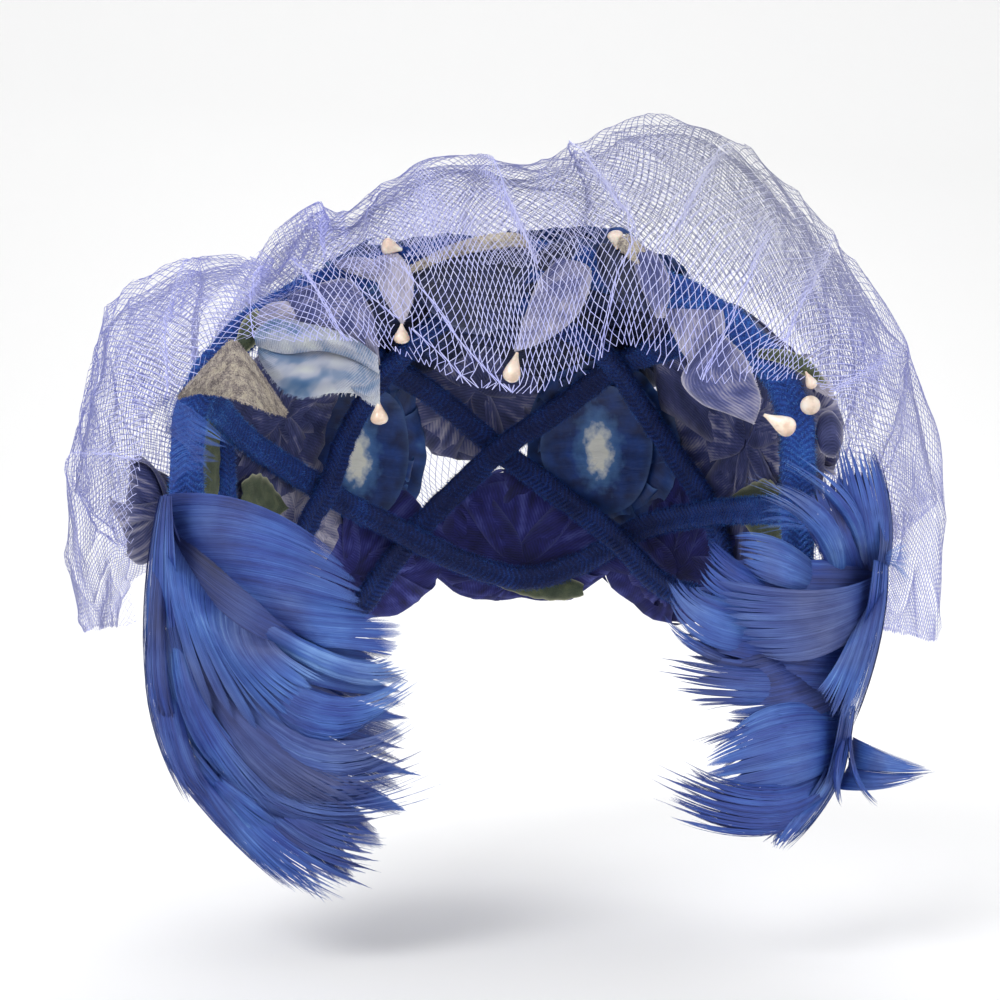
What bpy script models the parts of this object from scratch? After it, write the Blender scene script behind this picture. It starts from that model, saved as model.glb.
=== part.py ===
"""Veiled cocktail hat: an open cap of velvet bands that carries satin and velvet flowers,
petals with pearl stamens, two feather pads at the sides and a puffed net veil.

Metres, +Z up. The wearer looks along -Y. The origin is the top of the front arch, where the hat
sits on the crown of the head. Tables and sizes are in millimetres and degrees, and scaled by MM.
"""

import math
from collections import namedtuple

import bmesh
import bpy
from mathutils import Vector

MM = 0.001

# The head form that the cap follows: a flattened dome over straight sides.
HALF_WIDTH = 81.0
DEPTH = 113.0
CROWN_RISE = 50.0
ARCH_Y = -20.0
SPRING_Z = -CROWN_RISE

# Velvet bands: two rolls side by side round a wire.
BAND_HALF_WIDTH = 3.6
BAND_HALF_THICK = 2.2
ARCH_HALF_RADIAL = 4.6
ARCH_HALF_THICK = 3.4
BAND_SIDES = 8
ROLL_GROOVE = 0.28
ROLL_FULLNESS = 0.7
LEG_DROP = {"left": 66.0, "right": 74.0}
LEG_STEPS = 4
ARCH_STEPS = 26

CLOTH = 1.0
VEIL_CLOTH = 1.0
SHARP_ANGLE = 50.0

Way = namedtuple("Way", "turn rise lift")
Bloom = namedtuple("Bloom", "name turn rise lift radius below petals notch cup spin colour")
Leaf = namedtuple("Leaf", "name turn rise lift length width lean cup")
Petal = namedtuple(
    "Petal", "name root_x root_y root_z tip_x tip_y tip_z above under set_back fold colour"
)
Pearl = namedtuple("Pearl", "name x y z lean_x lean_y lean_z length girth")
Plume = namedtuple("Plume", "root_x root_y root_z bend_x bend_y bend_z tip_x tip_y tip_z upper lower")
Pad = namedtuple("Pad", "x y z width thick height")
Station = namedtuple("Station", "edge_x edge_y edge_z crest_x crest_y crest_z")

# Turn runs round the head from the left leg (0) by the back (90) to the right leg (180).
# Rise climbs from the spring line (0) to the crown (90); below it the sides go straight down.
BACK_RIM = (
    Way(2.0, 18.0, 0.0),
    Way(14.0, 12.0, 0.0),
    Way(47.0, -13.0, -1.0),
    Way(68.0, -29.5, -1.5),
    Way(83.0, -41.0, -0.5),
    Way(97.0, -47.0, 1.0),
    Way(110.0, -41.0, 2.5),
    Way(125.0, -27.0, 3.0),
    Way(145.0, -21.5, 1.0),
    Way(166.0, -20.5, 0.0),
    Way(178.0, -20.5, 0.0),
)
STRIP_A = (
    Way(2.2, 40.0, 0.0),
    Way(22.0, 39.0, 1.0),
    Way(42.0, 36.0, 2.5),
    Way(60.0, 31.0, 3.5),
    Way(77.0, 18.5, 4.0),
    Way(90.0, 3.0, 4.0),
    Way(104.0, -14.0, 2.5),
    Way(120.0, -32.0, -1.2),
    Way(132.0, -48.0, -1.0),
    Way(146.0, -53.0, 0.0),
    Way(162.0, -57.0, 0.0),
    Way(178.0, -59.0, 0.0),
)
STRIP_B = (
    Way(177.5, 38.0, 0.5),
    Way(158.0, 37.0, 2.5),
    Way(138.0, 33.5, 4.5),
    Way(121.0, 28.5, 4.5),
    Way(106.0, 16.5, 1.5),
    Way(91.0, 1.5, 0.0),
    Way(75.0, -24.0, 2.0),
    Way(67.0, -40.0, 2.6),
    Way(57.0, -58.0, 1.0),
    Way(44.0, -65.0, 0.0),
    Way(24.0, -69.0, 0.0),
    Way(2.0, -70.0, 0.0),
)
STRIP_C = (
    Way(91.0, 88.0, -1.0),
    Way(97.0, 70.0, -2.0),
    Way(110.0, 53.0, -0.5),
    Way(121.0, 38.0, 0.3),
    Way(126.5, 12.0, 3.0),
    Way(138.5, -16.0, 5.0),
    Way(143.0, -31.0, 5.0),
    Way(147.0, -57.0, 4.2),
)
STRIP_D = (
    Way(171.0, 77.0, 0.0),
    Way(128.0, 74.5, 1.5),
    Way(82.0, 60.0, 2.2),
    Way(66.0, 42.0, 0.0),
    Way(58.0, 24.0, -1.5),
    Way(51.0, 2.0, -4.2),
    Way(46.5, -13.5, -5.2),
    Way(40.0, -30.0, -4.6),
    Way(33.0, -72.0, -4.0),
)
SIDE_STRUT = (
    Way(22.5, 10.0, 3.9),
    Way(23.5, -12.0, 3.9),
    Way(24.0, -40.0, 4.0),
    Way(24.0, -73.0, 4.0),
)

# Each band with the number of lengths it is cut into.
BANDS = (
    ("back_rim", BACK_RIM, 30),
    ("strip_a", STRIP_A, 28),
    ("strip_b", STRIP_B, 28),
    ("strip_c", STRIP_C, 16),
    ("strip_d", STRIP_D, 18),
    ("side_strut", SIDE_STRUT, 8),
)

# Flowers lie on the outside of the cap. Lift is how far the throat stands off the head form,
# and below is the share of the radius that is left under the throat.
BLOOMS = (
    Bloom("satin_flower_left", 60.0, -2.0, 7.6, 23.0, 1.0, 5, 0.10, 2.0, 10, "blue_satin"),
    Bloom("satin_flower_right", 113.5, 1.0, 4.8, 23.0, 1.0, 5, 0.10, 2.0, 40, "blue_satin"),
    Bloom("pansy_back", 95.5, -41.0, 7.1, 29.0, 0.42, 5, 0.22, 2.0, 18, "purple_velvet"),
    Bloom("pansy_low_left", 59.0, -44.0, 4.8, 25.0, 0.50, 5, 0.26, 2.0, 54, "purple_velvet"),
    Bloom("pansy_low_right", 131.0, -42.0, 6.4, 26.0, 0.55, 5, 0.26, 2.0, 0, "purple_velvet"),
    Bloom("lavender_flower_left", 43.0, -25.0, 10.0, 20.0, 1.0, 5, 0.26, 2.0, 30, "grey_organdy"),
    Bloom("organdy_flower_left", 37.0, 11.0, 1.7, 21.0, 1.0, 6, 0.20, 2.0, 0, "grey_organdy"),
    Bloom("organdy_flower_right", 150.0, 3.0, 5.8, 26.0, 1.0, 6, 0.20, 2.0, 20, "grey_organdy"),
    Bloom("grey_flower_back", 86.0, 19.0, 10.2, 22.0, 1.0, 5, 0.26, 2.0, 0, "grey_organdy"),
    Bloom("night_flower_left", 66.0, 41.0, 5.7, 26.0, 1.0, 5, 0.22, 2.0, 0, "navy_satin"),
    Bloom("night_flower_right", 108.0, 42.0, 8.1, 26.0, 1.0, 5, 0.22, 2.0, 24, "navy_satin"),
    Bloom("crown_flower_left", 48.0, 62.0, 8.4, 25.0, 1.0, 5, 0.22, 2.0, 12, "blue_satin"),
    Bloom("crown_flower_right", 138.0, 62.0, 10.5, 25.0, 1.0, 5, 0.22, 2.0, 0, "blue_satin"),
    Bloom("side_flower_left", 8.0, -20.0, 8.9, 15.0, 1.0, 5, 0.26, 7.0, 36, "grey_organdy"),
    Bloom("side_flower_right", 168.0, 6.0, 7.7, 14.0, 1.0, 5, 0.26, 5.0, 0, "grey_organdy"),
)
# A throat is thicker than its petals. The cup of a flower is even but for a share that follows
# its petals, and a low power makes their scallops round.
THROAT_CLOTH = 1.4 * CLOTH
CUP_EVEN, CUP_SCALLOP = 0.75, 0.25
SCALLOP_POWER = 0.6
BLOOM_RINGS = (0.5, 1.0)
SECTORS_A_PETAL = 4

LEAVES = (
    Leaf("leaf_left", 16.0, -9.0, 6.4, 30.0, 13.0, 170.0, 1.5),
    Leaf("leaf_low_left", 32.0, -22.0, 6.9, 30.0, 14.0, 190.0, 1.5),
    Leaf("leaf_side_left", 8.0, -42.0, 7.4, 26.0, 12.0, 100.0, 2.0),
    Leaf("leaf_right", 156.0, -21.0, 3.4, 40.0, 20.0, 10.0, 1.5),
    Leaf("leaf_back", 99.5, -50.0, 4.0, 30.0, 9.0, 4.0, 0.8),
)
LEAF_STEPS = 6
# A leaf's breadth is a half wave that starts a little before the root and ends past the tip.
LEAF_START, LEAF_SPAN, LEAF_POWER = 0.08, 0.9, 0.8

# Petals that hang over the front arch, from root to tip. Above and under are how far each reaches
# to either side of that line, set_back is how far its upper edge lies behind its lower one, and
# fold how far its middle stands forward.
FRONT_PETALS = (
    Petal("suede_leaf", -81, -26, -38.5, -54, -31, -42.5, 14, 3, 5, 2, "tan_suede"),
    Petal("blue_petal_left", -62, -26, -22.5, -29.5, -31, -38.5, 13, 5, 2, 3, "blue_satin"),
    Petal("grey_petal_left", -52, -23.6, -9.5, -29.5, -27.5, -28, 8, 4, 0, 2, "grey_organdy"),
    Petal("pale_petal_left", -41, -23.4, -2.5, -21, -26, -13, 3, 3, 0, 1, "grey_organdy"),
    Petal("narrow_petal_left", -27.5, -25.0, -1.5, -23.5, -31, -18.5, 4, 4, 0, 2, "grey_organdy"),
    Petal("velvet_petal_left", -20, -23.3, -4, 9.5, -25, 2.7, 3, 15, 0, 2, "navy_satin"),
    Petal("grey_petal_middle", 21, -27, -3, 6.2, -35, -26.5, 6.5, 6.5, 0, 3, "grey_organdy"),
    Petal("velvet_petal_middle", 11, -23.3, -3, 21.5, -25, 3.2, 2, 6, 0, 1, "navy_satin"),
    Petal("velvet_petal_right", 28, -23.4, 1, 40, -27, -16, 5, 5, 0, 2, "navy_satin"),
    Petal("grey_petal_right", 51.5, -23.4, -14.5, 54.5, -27.5, -32.5, 8, 8, 0, 2, "grey_organdy"),
    Petal("organdy_petal_right", 58.5, -28.9, -23.5, 69, -36, -42.5, 7.5, 7.5, 0, 3, "grey_organdy"),
    Petal("thin_leaf_right", 70.5, -23.4, -26.5, 86, -26, -34.5, 2.5, 2.5, 0, 0.5, "olive_velvet"),
)
PETAL_STEPS = 5
PETAL_LEAST = 0.16

PEARLS = (
    Pearl("pearl_far_left", -29.4, -31.4, -39.6, 0.05, 0.0, -1.0, 6.0, 4.6),
    Pearl("pearl_left", -23.4, -31.6, -19.5, 0.0, 0.0, -1.0, 5.2, 4.2),
    Pearl("pearl_top_left", -23.6, -25.2, 0.6, -0.9, 0.0, 0.2, 5.6, 4.6),
    Pearl("pearl_middle", 6.4, -35.6, -27.2, -0.25, 0.0, -1.0, 8.0, 4.6),
    Pearl("pearl_top_right", 32.6, -26.0, 0.6, -0.15, -0.3, 1.0, 5.0, 4.2),
    Pearl("pearl_right", 69.4, -36.4, -43.2, 0.85, 0.0, -0.45, 9.0, 5.2),
    Pearl("pearl_small_right", 81.6, -27.8, -31.5, 0.5, 0.0, -1.0, 5.0, 3.0),
    Pearl("pearl_far_right", 83.4, -23.2, -39.0, -0.1, -0.9, -0.3, 5.6, 5.2),
)
# A drop's outline: shares of its length and of its girth, from the neck to the round end.
DROP_OUTLINE = ((0.0, 0.3), (0.3, 0.52), (0.55, 0.86), (0.75, 1.0), (0.9, 0.8))
DROP_SIDES = 10

# Feathers of each pad: root, the point that bends them, tip, and vane widths above and below the quill.
LEFT_PLUMES = (
    Plume(-85, -25.6, -68, -66, -42, -86, -26, -42, -101, 15, 8),
    Plume(-86, -25.6, -74, -67, -43, -101, -21, -42, -115, 9, 9),
    Plume(-87, -25.6, -80, -72, -43, -114, -20, -42, -128, 9, 9),
    Plume(-87, -25.6, -85, -76, -43, -126, -21, -41, -140, 9, 8),
    Plume(-87, -25.6, -90, -79, -42, -136, -29, -40, -151, 9, 8),
    Plume(-87, -25.6, -97, -80, -41, -144, -34, -39, -160, 8, 8),
    Plume(-86, -25.6, -104, -78, -40, -150, -43, -37, -166, 7, 6),
    Plume(-86, -25.6, -92, -84, -36, -134, -58, -34, -156, 5, 5),
)
RIGHT_PLUMES = (
    Plume(99, -25.6, -92, 104, -31, -66, 91, -33, -51, 6, 6),
    Plume(97, -25.6, -90, 88, -42, -58, 70, -38, -60, 5, 5),
    Plume(95, -25.6, -92, 82, -43, -68, 66, -38, -73, 5, 5),
    Plume(96, -25.6, -94, 78, -43, -84, 57, -40, -74, 8, 7),
    Plume(97, -25.6, -100, 74, -45, -102, 47, -42, -86, 10, 9),
    Plume(97, -25.6, -108, 72, -44, -118, 43, -40, -103, 7, 7),
    Plume(96, -25.6, -116, 76, -43, -120, 60, -40, -136, 9, 9),
    Plume(94, -25.6, -122, 76, -45, -154, 45, -40, -135, 8, 7),
    Plume(92, -25.6, -124, 88, -34, -144, 74, -34, -155, 5, 4),
    Plume(91, -25.6, -126, 98, -28, -141, 113, -28, -135, 5, 4),
)
PLUME_STEPS = 5
# A vane's breadth is a half wave from near the root to near the tip, never below a least share.
PLUME_START, PLUME_SPAN, PLUME_POWER, PLUME_LEAST = 0.1, 0.86, 0.7, 0.2
PLUME_CAMBER = 0.18
# Every blade is a little thicker than the one before, so that no two faces of a pad coincide.
BLADE_THICK, BLADE_STEP = 1.6, 0.07
LEFT_PAD = Pad(-84, -24.2, -86, 9, 2, 44)
RIGHT_PAD = Pad(90, -24.2, -106, 18, 2, 46)
# Heights of a pad's rows, as shares, and how far each lies back.
PAD_ROWS = ((0.5, 0.0), (0.17, -0.6), (-0.17, -0.6), (-0.5, 0.0))

# The net veil, station by station from the low left, over the top, to the low right.
VEIL = (
    Station(-95, -22, -98, -117, 14, -102),
    Station(-95, -23, -80, -122, 14, -78),
    Station(-94, -23, -62, -121, 14, -56),
    Station(-91, -24, -48, -116, 12, -34),
    Station(-87, -34, -41, -109, 10, -12),
    Station(-78, -43, -37, -92, 10, 0),
    Station(-66, -45, -26, -73, 8, 3),
    Station(-48, -45, -25, -62, 4, -2),
    Station(-36, -45, -25, -51, 2, 17),
    Station(-27, -45, -27, -41, 8, 16),
    Station(-16, -45, -32, -28, 10, 27),
    Station(-3, -45, -37, -15, 10, 32),
    Station(11, -45, -38, 8, 10, 30),
    Station(22, -45, -35, 22, 12, 35),
    Station(33, -45, -26, 39, 12, 43),
    Station(45, -45, -32, 60, 12, 42),
    Station(57, -45, -36, 78, 12, 30),
    Station(70, -45, -35, 95, 12, 11),
    Station(80, -44, -36, 111, 12, -10),
    Station(90, -34, -45, 124, 12, -38),
    Station(95, -18, -68, 128, 12, -66),
    Station(96, -6, -98, 127, 14, -105),
)
HEM_SIDE = 110.0
HEM_FRONT_Y = 26.0
HEM_DEPTH = 98.0
HEM_LOW_Z = -102.0
HEM_BACK_Z = -72.0
HEM_WAVE = 3.5
HEM_FLARE = 0.035
HEM_WAVES = 11.0
HEM_TURN = 1.5
HEM_POWER = 0.5
VEIL_CENTRE = Vector((0.0, 30.0, -50.0))
# The brow of the veil stands forward of the line from its edge to its crest.
BROW = Vector((0.0, -18.0, 2.0))
BROW_POWER = 0.5
HIGH_SHARE, LOW_SHARE = 0.35, 0.7
VEIL_SIDE_STEPS = 2
VEIL_CROSS_STEPS = 10

COLOURS = {
    "blue_velvet": ((0.012, 0.035, 0.22), 0.85),
    "purple_velvet": ((0.035, 0.018, 0.16), 0.85),
    "blue_satin": ((0.13, 0.24, 0.42), 0.4),
    "navy_satin": ((0.01, 0.018, 0.08), 0.5),
    "grey_organdy": ((0.25, 0.24, 0.36), 0.6),
    "tan_suede": ((0.33, 0.3, 0.27), 0.9),
    "olive_velvet": ((0.08, 0.1, 0.03), 0.9),
    "pearl": ((0.82, 0.66, 0.5), 0.25),
    "feather": ((0.03, 0.1, 0.48), 0.55),
    "net": ((0.3, 0.32, 0.68), 0.6),
}


def clear_scene():
    for obj in list(bpy.data.objects):
        bpy.data.objects.remove(obj)


def material(name):
    found = bpy.data.materials.get(name)
    if found:
        return found
    made = bpy.data.materials.new(name)
    made.use_nodes = True
    shader = made.node_tree.nodes["Principled BSDF"]
    colour, roughness = COLOURS[name]
    shader.inputs["Base Color"].default_value = (*colour, 1.0)
    shader.inputs["Roughness"].default_value = roughness
    return made


def add_object(name, points, faces, colour):
    """A closed mesh from points in millimetres, with its faces turned outwards."""
    mesh = bpy.data.meshes.new(name)
    mesh.from_pydata([Vector(p) * MM for p in points], [], faces)
    shape = bmesh.new()
    shape.from_mesh(mesh)
    bmesh.ops.recalc_face_normals(shape, faces=shape.faces)
    if shape.calc_volume(signed=True) < 0:
        bmesh.ops.reverse_faces(shape, faces=shape.faces)
    shape.to_mesh(mesh)
    shape.free()
    mesh.materials.append(material(colour))
    mesh.shade_smooth()
    mesh.set_sharp_from_angle(angle=math.radians(SHARP_ANGLE))
    obj = bpy.data.objects.new(name, mesh)
    bpy.context.scene.collection.objects.link(obj)
    return obj


def dome_normal(point):
    over = max(point[2] - SPRING_Z, 0.0)
    slope = (point[0] / HALF_WIDTH**2, (point[1] - ARCH_Y) / DEPTH**2, over / CROWN_RISE**2)
    return Vector(slope).normalized()


def dome_point(turn, rise, lift=0.0):
    """The point of the head form at these angles, lifted along its normal."""
    turn, rise = math.radians(turn), math.radians(rise)
    level = math.cos(max(rise, 0.0))
    height = CROWN_RISE * (math.sin(rise) if rise > 0 else rise)
    base = Vector(
        (
            -HALF_WIDTH * level * math.cos(turn),
            ARCH_Y + DEPTH * level * math.sin(turn),
            SPRING_Z + height,
        )
    )
    return base + lift * dome_normal(base)


def onto_dome(point, lift=0.0):
    """The point carried onto the head form, away from its middle, then lifted along the normal."""
    across, back = point[0] / HALF_WIDTH, (point[1] - ARCH_Y) / DEPTH
    over = max(point[2] - SPRING_Z, 0.0) / CROWN_RISE
    share = 1.0 / max(math.sqrt(across**2 + back**2 + over**2), 1e-6)
    height = over * CROWN_RISE * share + min(point[2] - SPRING_Z, 0.0)
    base = Vector(
        (point[0] * share, ARCH_Y + (point[1] - ARCH_Y) * share, SPRING_Z + height)
    )
    return base + lift * dome_normal(base)


def spline(rows, share):
    """A point of the smooth curve through rows of numbers, with share from 0 to 1."""
    place = min(max(share, 0.0), 1.0) * (len(rows) - 1)
    first = min(int(place), len(rows) - 2)
    t = place - first
    a, b = rows[max(first - 1, 0)], rows[first]
    c, d = rows[first + 1], rows[min(first + 2, len(rows) - 1)]
    return [
        0.5
        * (
            2 * q
            + (r - p) * t
            + (2 * p - 5 * q + 4 * r - s) * t**2
            + (3 * q - p - 3 * r + s) * t**3
        )
        for p, q, r, s in zip(a, b, c, d)
    ]


def evenly(rows, steps, fine=40):
    """Points of the curve through rows, spaced evenly by their first three numbers."""
    many = [spline(rows, i / (fine * steps)) for i in range(fine * steps + 1)]
    run = [0.0]
    for p, q in zip(many, many[1:]):
        run.append(run[-1] + math.dist(p[:3], q[:3]))
    picked, at = [], 0
    for i in range(steps + 1):
        want = run[-1] * i / steps
        while at < len(run) - 1 and run[at] < want - 1e-9:
            at += 1
        picked.append(many[at])
    return picked


def roll_section(half_width, half_thick, sides):
    """The outline of two velvet rolls side by side, with a shallow groove between them."""
    outline = []
    for i in range(sides):
        angle = 2 * math.pi * i / sides
        along, up = math.cos(angle), math.sin(angle)
        full = math.copysign(abs(up) ** ROLL_FULLNESS, up) if abs(up) > 1e-6 else 0.0
        outline.append(
            (half_width * along, half_thick * full * (1 - ROLL_GROOVE * (1 - abs(along))))
        )
    return outline


def sweep(name, places, normals, section, colour):
    """A closed band along places, its section's first axis across it and its second along the normals."""
    points, faces = [], []
    count, sides = len(places), len(section)
    for i, (place, normal) in enumerate(zip(places, normals)):
        ahead = places[min(i + 1, count - 1)] - places[max(i - 1, 0)]
        across = ahead.cross(normal).normalized()
        out = across.cross(ahead).normalized()
        points += [place + across * a + out * b for a, b in section]
    for i in range(count - 1):
        for j in range(sides):
            k = (j + 1) % sides
            faces.append(
                (i * sides + j, i * sides + k, (i + 1) * sides + k, (i + 1) * sides + j)
            )
    faces.append(tuple(range(sides)))
    faces.append(tuple((count - 1) * sides + j for j in range(sides)))
    return add_object(name, points, faces, colour)


def band_on_dome(name, ways, steps):
    """A flat velvet band that lies along the head form through its way points."""
    rows = [[*dome_point(w.turn, w.rise), w.lift] for w in ways]
    picked = evenly(rows, steps)
    places = [onto_dome(row[:3], row[3]) for row in picked]
    normals = [dome_normal(onto_dome(row[:3])) for row in picked]
    section = roll_section(BAND_HALF_WIDTH, BAND_HALF_THICK, BAND_SIDES)
    return sweep(name, places, normals, section, "blue_velvet")


def front_arch():
    """The wire arch over the top of the head, with a straight leg down each side."""
    side = Vector((HALF_WIDTH, ARCH_Y, SPRING_Z))
    places = []
    for i in range(LEG_STEPS):
        drop = LEG_DROP["left"] * (1 - i / LEG_STEPS)
        places.append(Vector((-side.x, side.y, side.z - drop)))
    for i in range(ARCH_STEPS + 1):
        angle = math.pi * i / ARCH_STEPS
        places.append(
            Vector(
                (-side.x * math.cos(angle), side.y, side.z + CROWN_RISE * math.sin(angle))
            )
        )
    for i in range(1, LEG_STEPS + 1):
        places.append(Vector((side.x, side.y, side.z - LEG_DROP["right"] * i / LEG_STEPS)))
    forward = [Vector((0.0, -1.0, 0.0))] * len(places)
    section = roll_section(ARCH_HALF_RADIAL, ARCH_HALF_THICK, BAND_SIDES)
    return sweep("front_arch", places, forward, section, "blue_velvet")


def shell(name, grid, thickness, colour):
    """A closed sheet of even thickness round a grid of points."""
    rows, columns = len(grid), len(grid[0])

    def normal(i, j):
        down = grid[min(i + 1, rows - 1)][j] - grid[max(i - 1, 0)][j]
        across = grid[i][min(j + 1, columns - 1)] - grid[i][max(j - 1, 0)]
        return down.cross(across).normalized()

    points = []
    for side in (0.5, -0.5):
        for i in range(rows):
            for j in range(columns):
                points.append(grid[i][j] + normal(i, j) * side * thickness)
    back = rows * columns
    faces = []
    for i in range(rows - 1):
        for j in range(columns - 1):
            a, b = i * columns + j, i * columns + j + 1
            c, d = b + columns, a + columns
            faces.append((a, b, c, d))
            faces.append((back + d, back + c, back + b, back + a))
    rim = (
        [i * columns for i in range(rows)]
        + [(rows - 1) * columns + j for j in range(1, columns)]
        + [i * columns + columns - 1 for i in range(rows - 2, -1, -1)]
        + list(range(columns - 2, 0, -1))
    )
    for a, b in zip(rim, rim[1:] + rim[:1]):
        faces.append((a, b, back + b, back + a))
    return add_object(name, points, faces, colour)


def bloom_reach(bloom, angle, spin):
    """How far a flower reaches at an angle, as a share of its radius."""
    scallop = 1.0 - bloom.notch * (1.0 - abs(math.sin(angle * bloom.petals / 2)) ** SCALLOP_POWER)
    down = max(-math.sin(angle + spin), 0.0)
    return scallop * (1.0 - (1.0 - bloom.below) * down)


def add_bloom(bloom):
    """A flower of joined petals, dished away from the cap, with a solid throat."""
    sectors = bloom.petals * SECTORS_A_PETAL
    middle = dome_point(bloom.turn, bloom.rise)
    out = dome_normal(middle)
    up = (Vector((0.0, 0.0, 1.0)) - out * out.z).normalized()
    across = up.cross(out)
    spin = math.radians(bloom.spin)
    points = []
    for side in (-0.5, 0.5):
        points.append(onto_dome(middle, bloom.lift + side * THROAT_CLOTH))
        for ring in BLOOM_RINGS:
            for k in range(sectors):
                angle = 2 * math.pi * k / sectors
                reach = bloom.radius * ring * bloom_reach(bloom, angle, spin)
                flat = (
                    middle
                    + across * reach * math.cos(angle + spin)
                    + up * reach * math.sin(angle + spin)
                )
                scallop = CUP_EVEN - CUP_SCALLOP * math.cos(bloom.petals * angle)
                cup = bloom.cup * ring**2 * scallop
                points.append(onto_dome(flat, bloom.lift + cup + side * CLOTH))
    layer = 1 + len(BLOOM_RINGS) * sectors
    faces = []
    for k in range(sectors):
        m = (k + 1) % sectors
        faces.append((0, 1 + k, 1 + m))
        faces.append((layer, layer + 1 + m, layer + 1 + k))
        for ring in range(len(BLOOM_RINGS) - 1):
            a, b = 1 + ring * sectors + k, 1 + ring * sectors + m
            c, d = b + sectors, a + sectors
            faces.append((a, d, c, b))
            faces.append((layer + a, layer + b, layer + c, layer + d))
        a, b = 1 + (len(BLOOM_RINGS) - 1) * sectors + k, 1 + (len(BLOOM_RINGS) - 1) * sectors + m
        faces.append((a, layer + a, layer + b, b))
    return add_object(bloom.name, points, faces, bloom.colour)


def leaf_width(share):
    """The breadth of a leaf or petal from its root (0) to its tip (1)."""
    return math.sin(math.pi * (LEAF_START + LEAF_SPAN * share) ** LEAF_POWER)


def add_leaf(leaf):
    """A velvet leaf on the outside of the cap, with a crease along its middle."""
    middle = dome_point(leaf.turn, leaf.rise)
    out = dome_normal(middle)
    up = (Vector((0.0, 0.0, 1.0)) - out * out.z).normalized()
    across = up.cross(out)
    lean = math.radians(leaf.lean)
    along = across * math.cos(lean) + up * math.sin(lean)
    beside = out.cross(along)
    grid = []
    for i in range(LEAF_STEPS + 1):
        share = i / LEAF_STEPS
        half = leaf.width / 2 * leaf_width(share)
        row = []
        for side in (-1, 0, 1):
            flat = middle + along * leaf.length * (share - 0.5) + beside * side * half
            row.append(onto_dome(flat, leaf.lift + leaf.cup * abs(side)))
        grid.append(row)
    return shell(leaf.name, grid, CLOTH, "olive_velvet")


def petal_grid(petal):
    """The middle surface of a hanging petal, from its root to its tip."""
    root = Vector((petal.root_x, petal.root_y, petal.root_z))
    tip = Vector((petal.tip_x, petal.tip_y, petal.tip_z))
    along = (tip - root).normalized()
    above = Vector((0.0, -1.0, 0.0)).cross(along).normalized()
    front = along.cross(above)
    if front.y > 0:
        front.negate()
    grid = []
    for i in range(PETAL_STEPS + 1):
        share = i / PETAL_STEPS
        wide = max(leaf_width(share), PETAL_LEAST)
        belly = petal.fold * math.sin(math.pi * share)
        spine = root.lerp(tip, share) + front * belly
        back = Vector((0.0, petal.set_back, 0.0)) * wide
        grid.append([spine + above * petal.above * wide + back, spine, spine - above * petal.under * wide])
    return grid


def add_petal(petal):
    return shell(petal.name, petal_grid(petal), CLOTH, petal.colour)


def add_pearl(pearl):
    """A pearl drop on its stamen: a round end drawn out to a narrow neck."""
    axis = Vector((pearl.lean_x, pearl.lean_y, pearl.lean_z)).normalized()
    turned = Vector((0.0, 0.0, 1.0)).rotation_difference(axis)
    neck = Vector((pearl.x, pearl.y, pearl.z))
    points = []
    for along, wide in DROP_OUTLINE:
        for k in range(DROP_SIDES):
            angle = 2 * math.pi * k / DROP_SIDES
            ring = Vector((math.cos(angle), math.sin(angle), 0.0)) * wide * pearl.girth / 2
            points.append(neck + turned @ (ring + Vector((0, 0, along * pearl.length))))
    points.append(neck + axis * pearl.length)
    faces = [tuple(range(DROP_SIDES))]
    for i in range(len(DROP_OUTLINE) - 1):
        for j in range(DROP_SIDES):
            k = (j + 1) % DROP_SIDES
            a, b = i * DROP_SIDES + j, i * DROP_SIDES + k
            faces.append((a, b, b + DROP_SIDES, a + DROP_SIDES))
    last = (len(DROP_OUTLINE) - 1) * DROP_SIDES
    for j in range(DROP_SIDES):
        faces.append((last + j, last + (j + 1) % DROP_SIDES, len(points) - 1))
    return add_object(pearl.name, points, faces, "pearl")


def plume_grid(plume):
    """A feather as three lines of points: the upper edge, the quill and the lower edge."""
    root = Vector((plume.root_x, plume.root_y, plume.root_z))
    bend = Vector((plume.bend_x, plume.bend_y, plume.bend_z))
    tip = Vector((plume.tip_x, plume.tip_y, plume.tip_z))
    grid = []
    for i in range(PLUME_STEPS + 1):
        t = i / PLUME_STEPS
        quill = root * (1 - t) ** 2 + bend * 2 * t * (1 - t) + tip * t**2
        ahead = ((bend - root) * (1 - t) + (tip - bend) * t).normalized()
        beside = ahead.cross(Vector((0.0, -1.0, 0.0))).normalized()
        wave = math.sin(math.pi * (PLUME_START + PLUME_SPAN * t)) ** PLUME_POWER
        spread = max(wave, PLUME_LEAST)
        camber = Vector((0.0, PLUME_CAMBER, 0.0))
        grid.append(
            [
                quill - beside * plume.upper * spread + camber * plume.upper * spread,
                quill,
                quill + beside * plume.lower * spread + camber * plume.lower * spread,
            ]
        )
    return grid


def feather_pad(name, plumes, pad):
    """Feathers fused to the stiff base that is sewn to the leg of the arch."""
    blades = bpy.data.collections.new(name + "_blades")
    bpy.context.scene.collection.children.link(blades)
    for i, plume in enumerate(plumes):
        thick = BLADE_THICK + BLADE_STEP * i
        blade = shell(f"{name}_blade_{i}", plume_grid(plume), thick, "feather")
        bpy.context.scene.collection.objects.unlink(blade)
        blades.objects.link(blade)
        blade.hide_render = True
        blade.display_type = "WIRE"
    grid = [
        [Vector((pad.x + side * pad.width, pad.y + back, pad.z + up * pad.height)) for side in (-0.5, 0.5)]
        for up, back in PAD_ROWS
    ]
    base = shell(name, grid, pad.thick, "feather")
    join = base.modifiers.new("join_feathers", "BOOLEAN")
    join.operation = "UNION"
    join.operand_type = "COLLECTION"
    join.collection = blades
    join.solver = "EXACT"
    join.use_self = True
    return base


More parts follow.
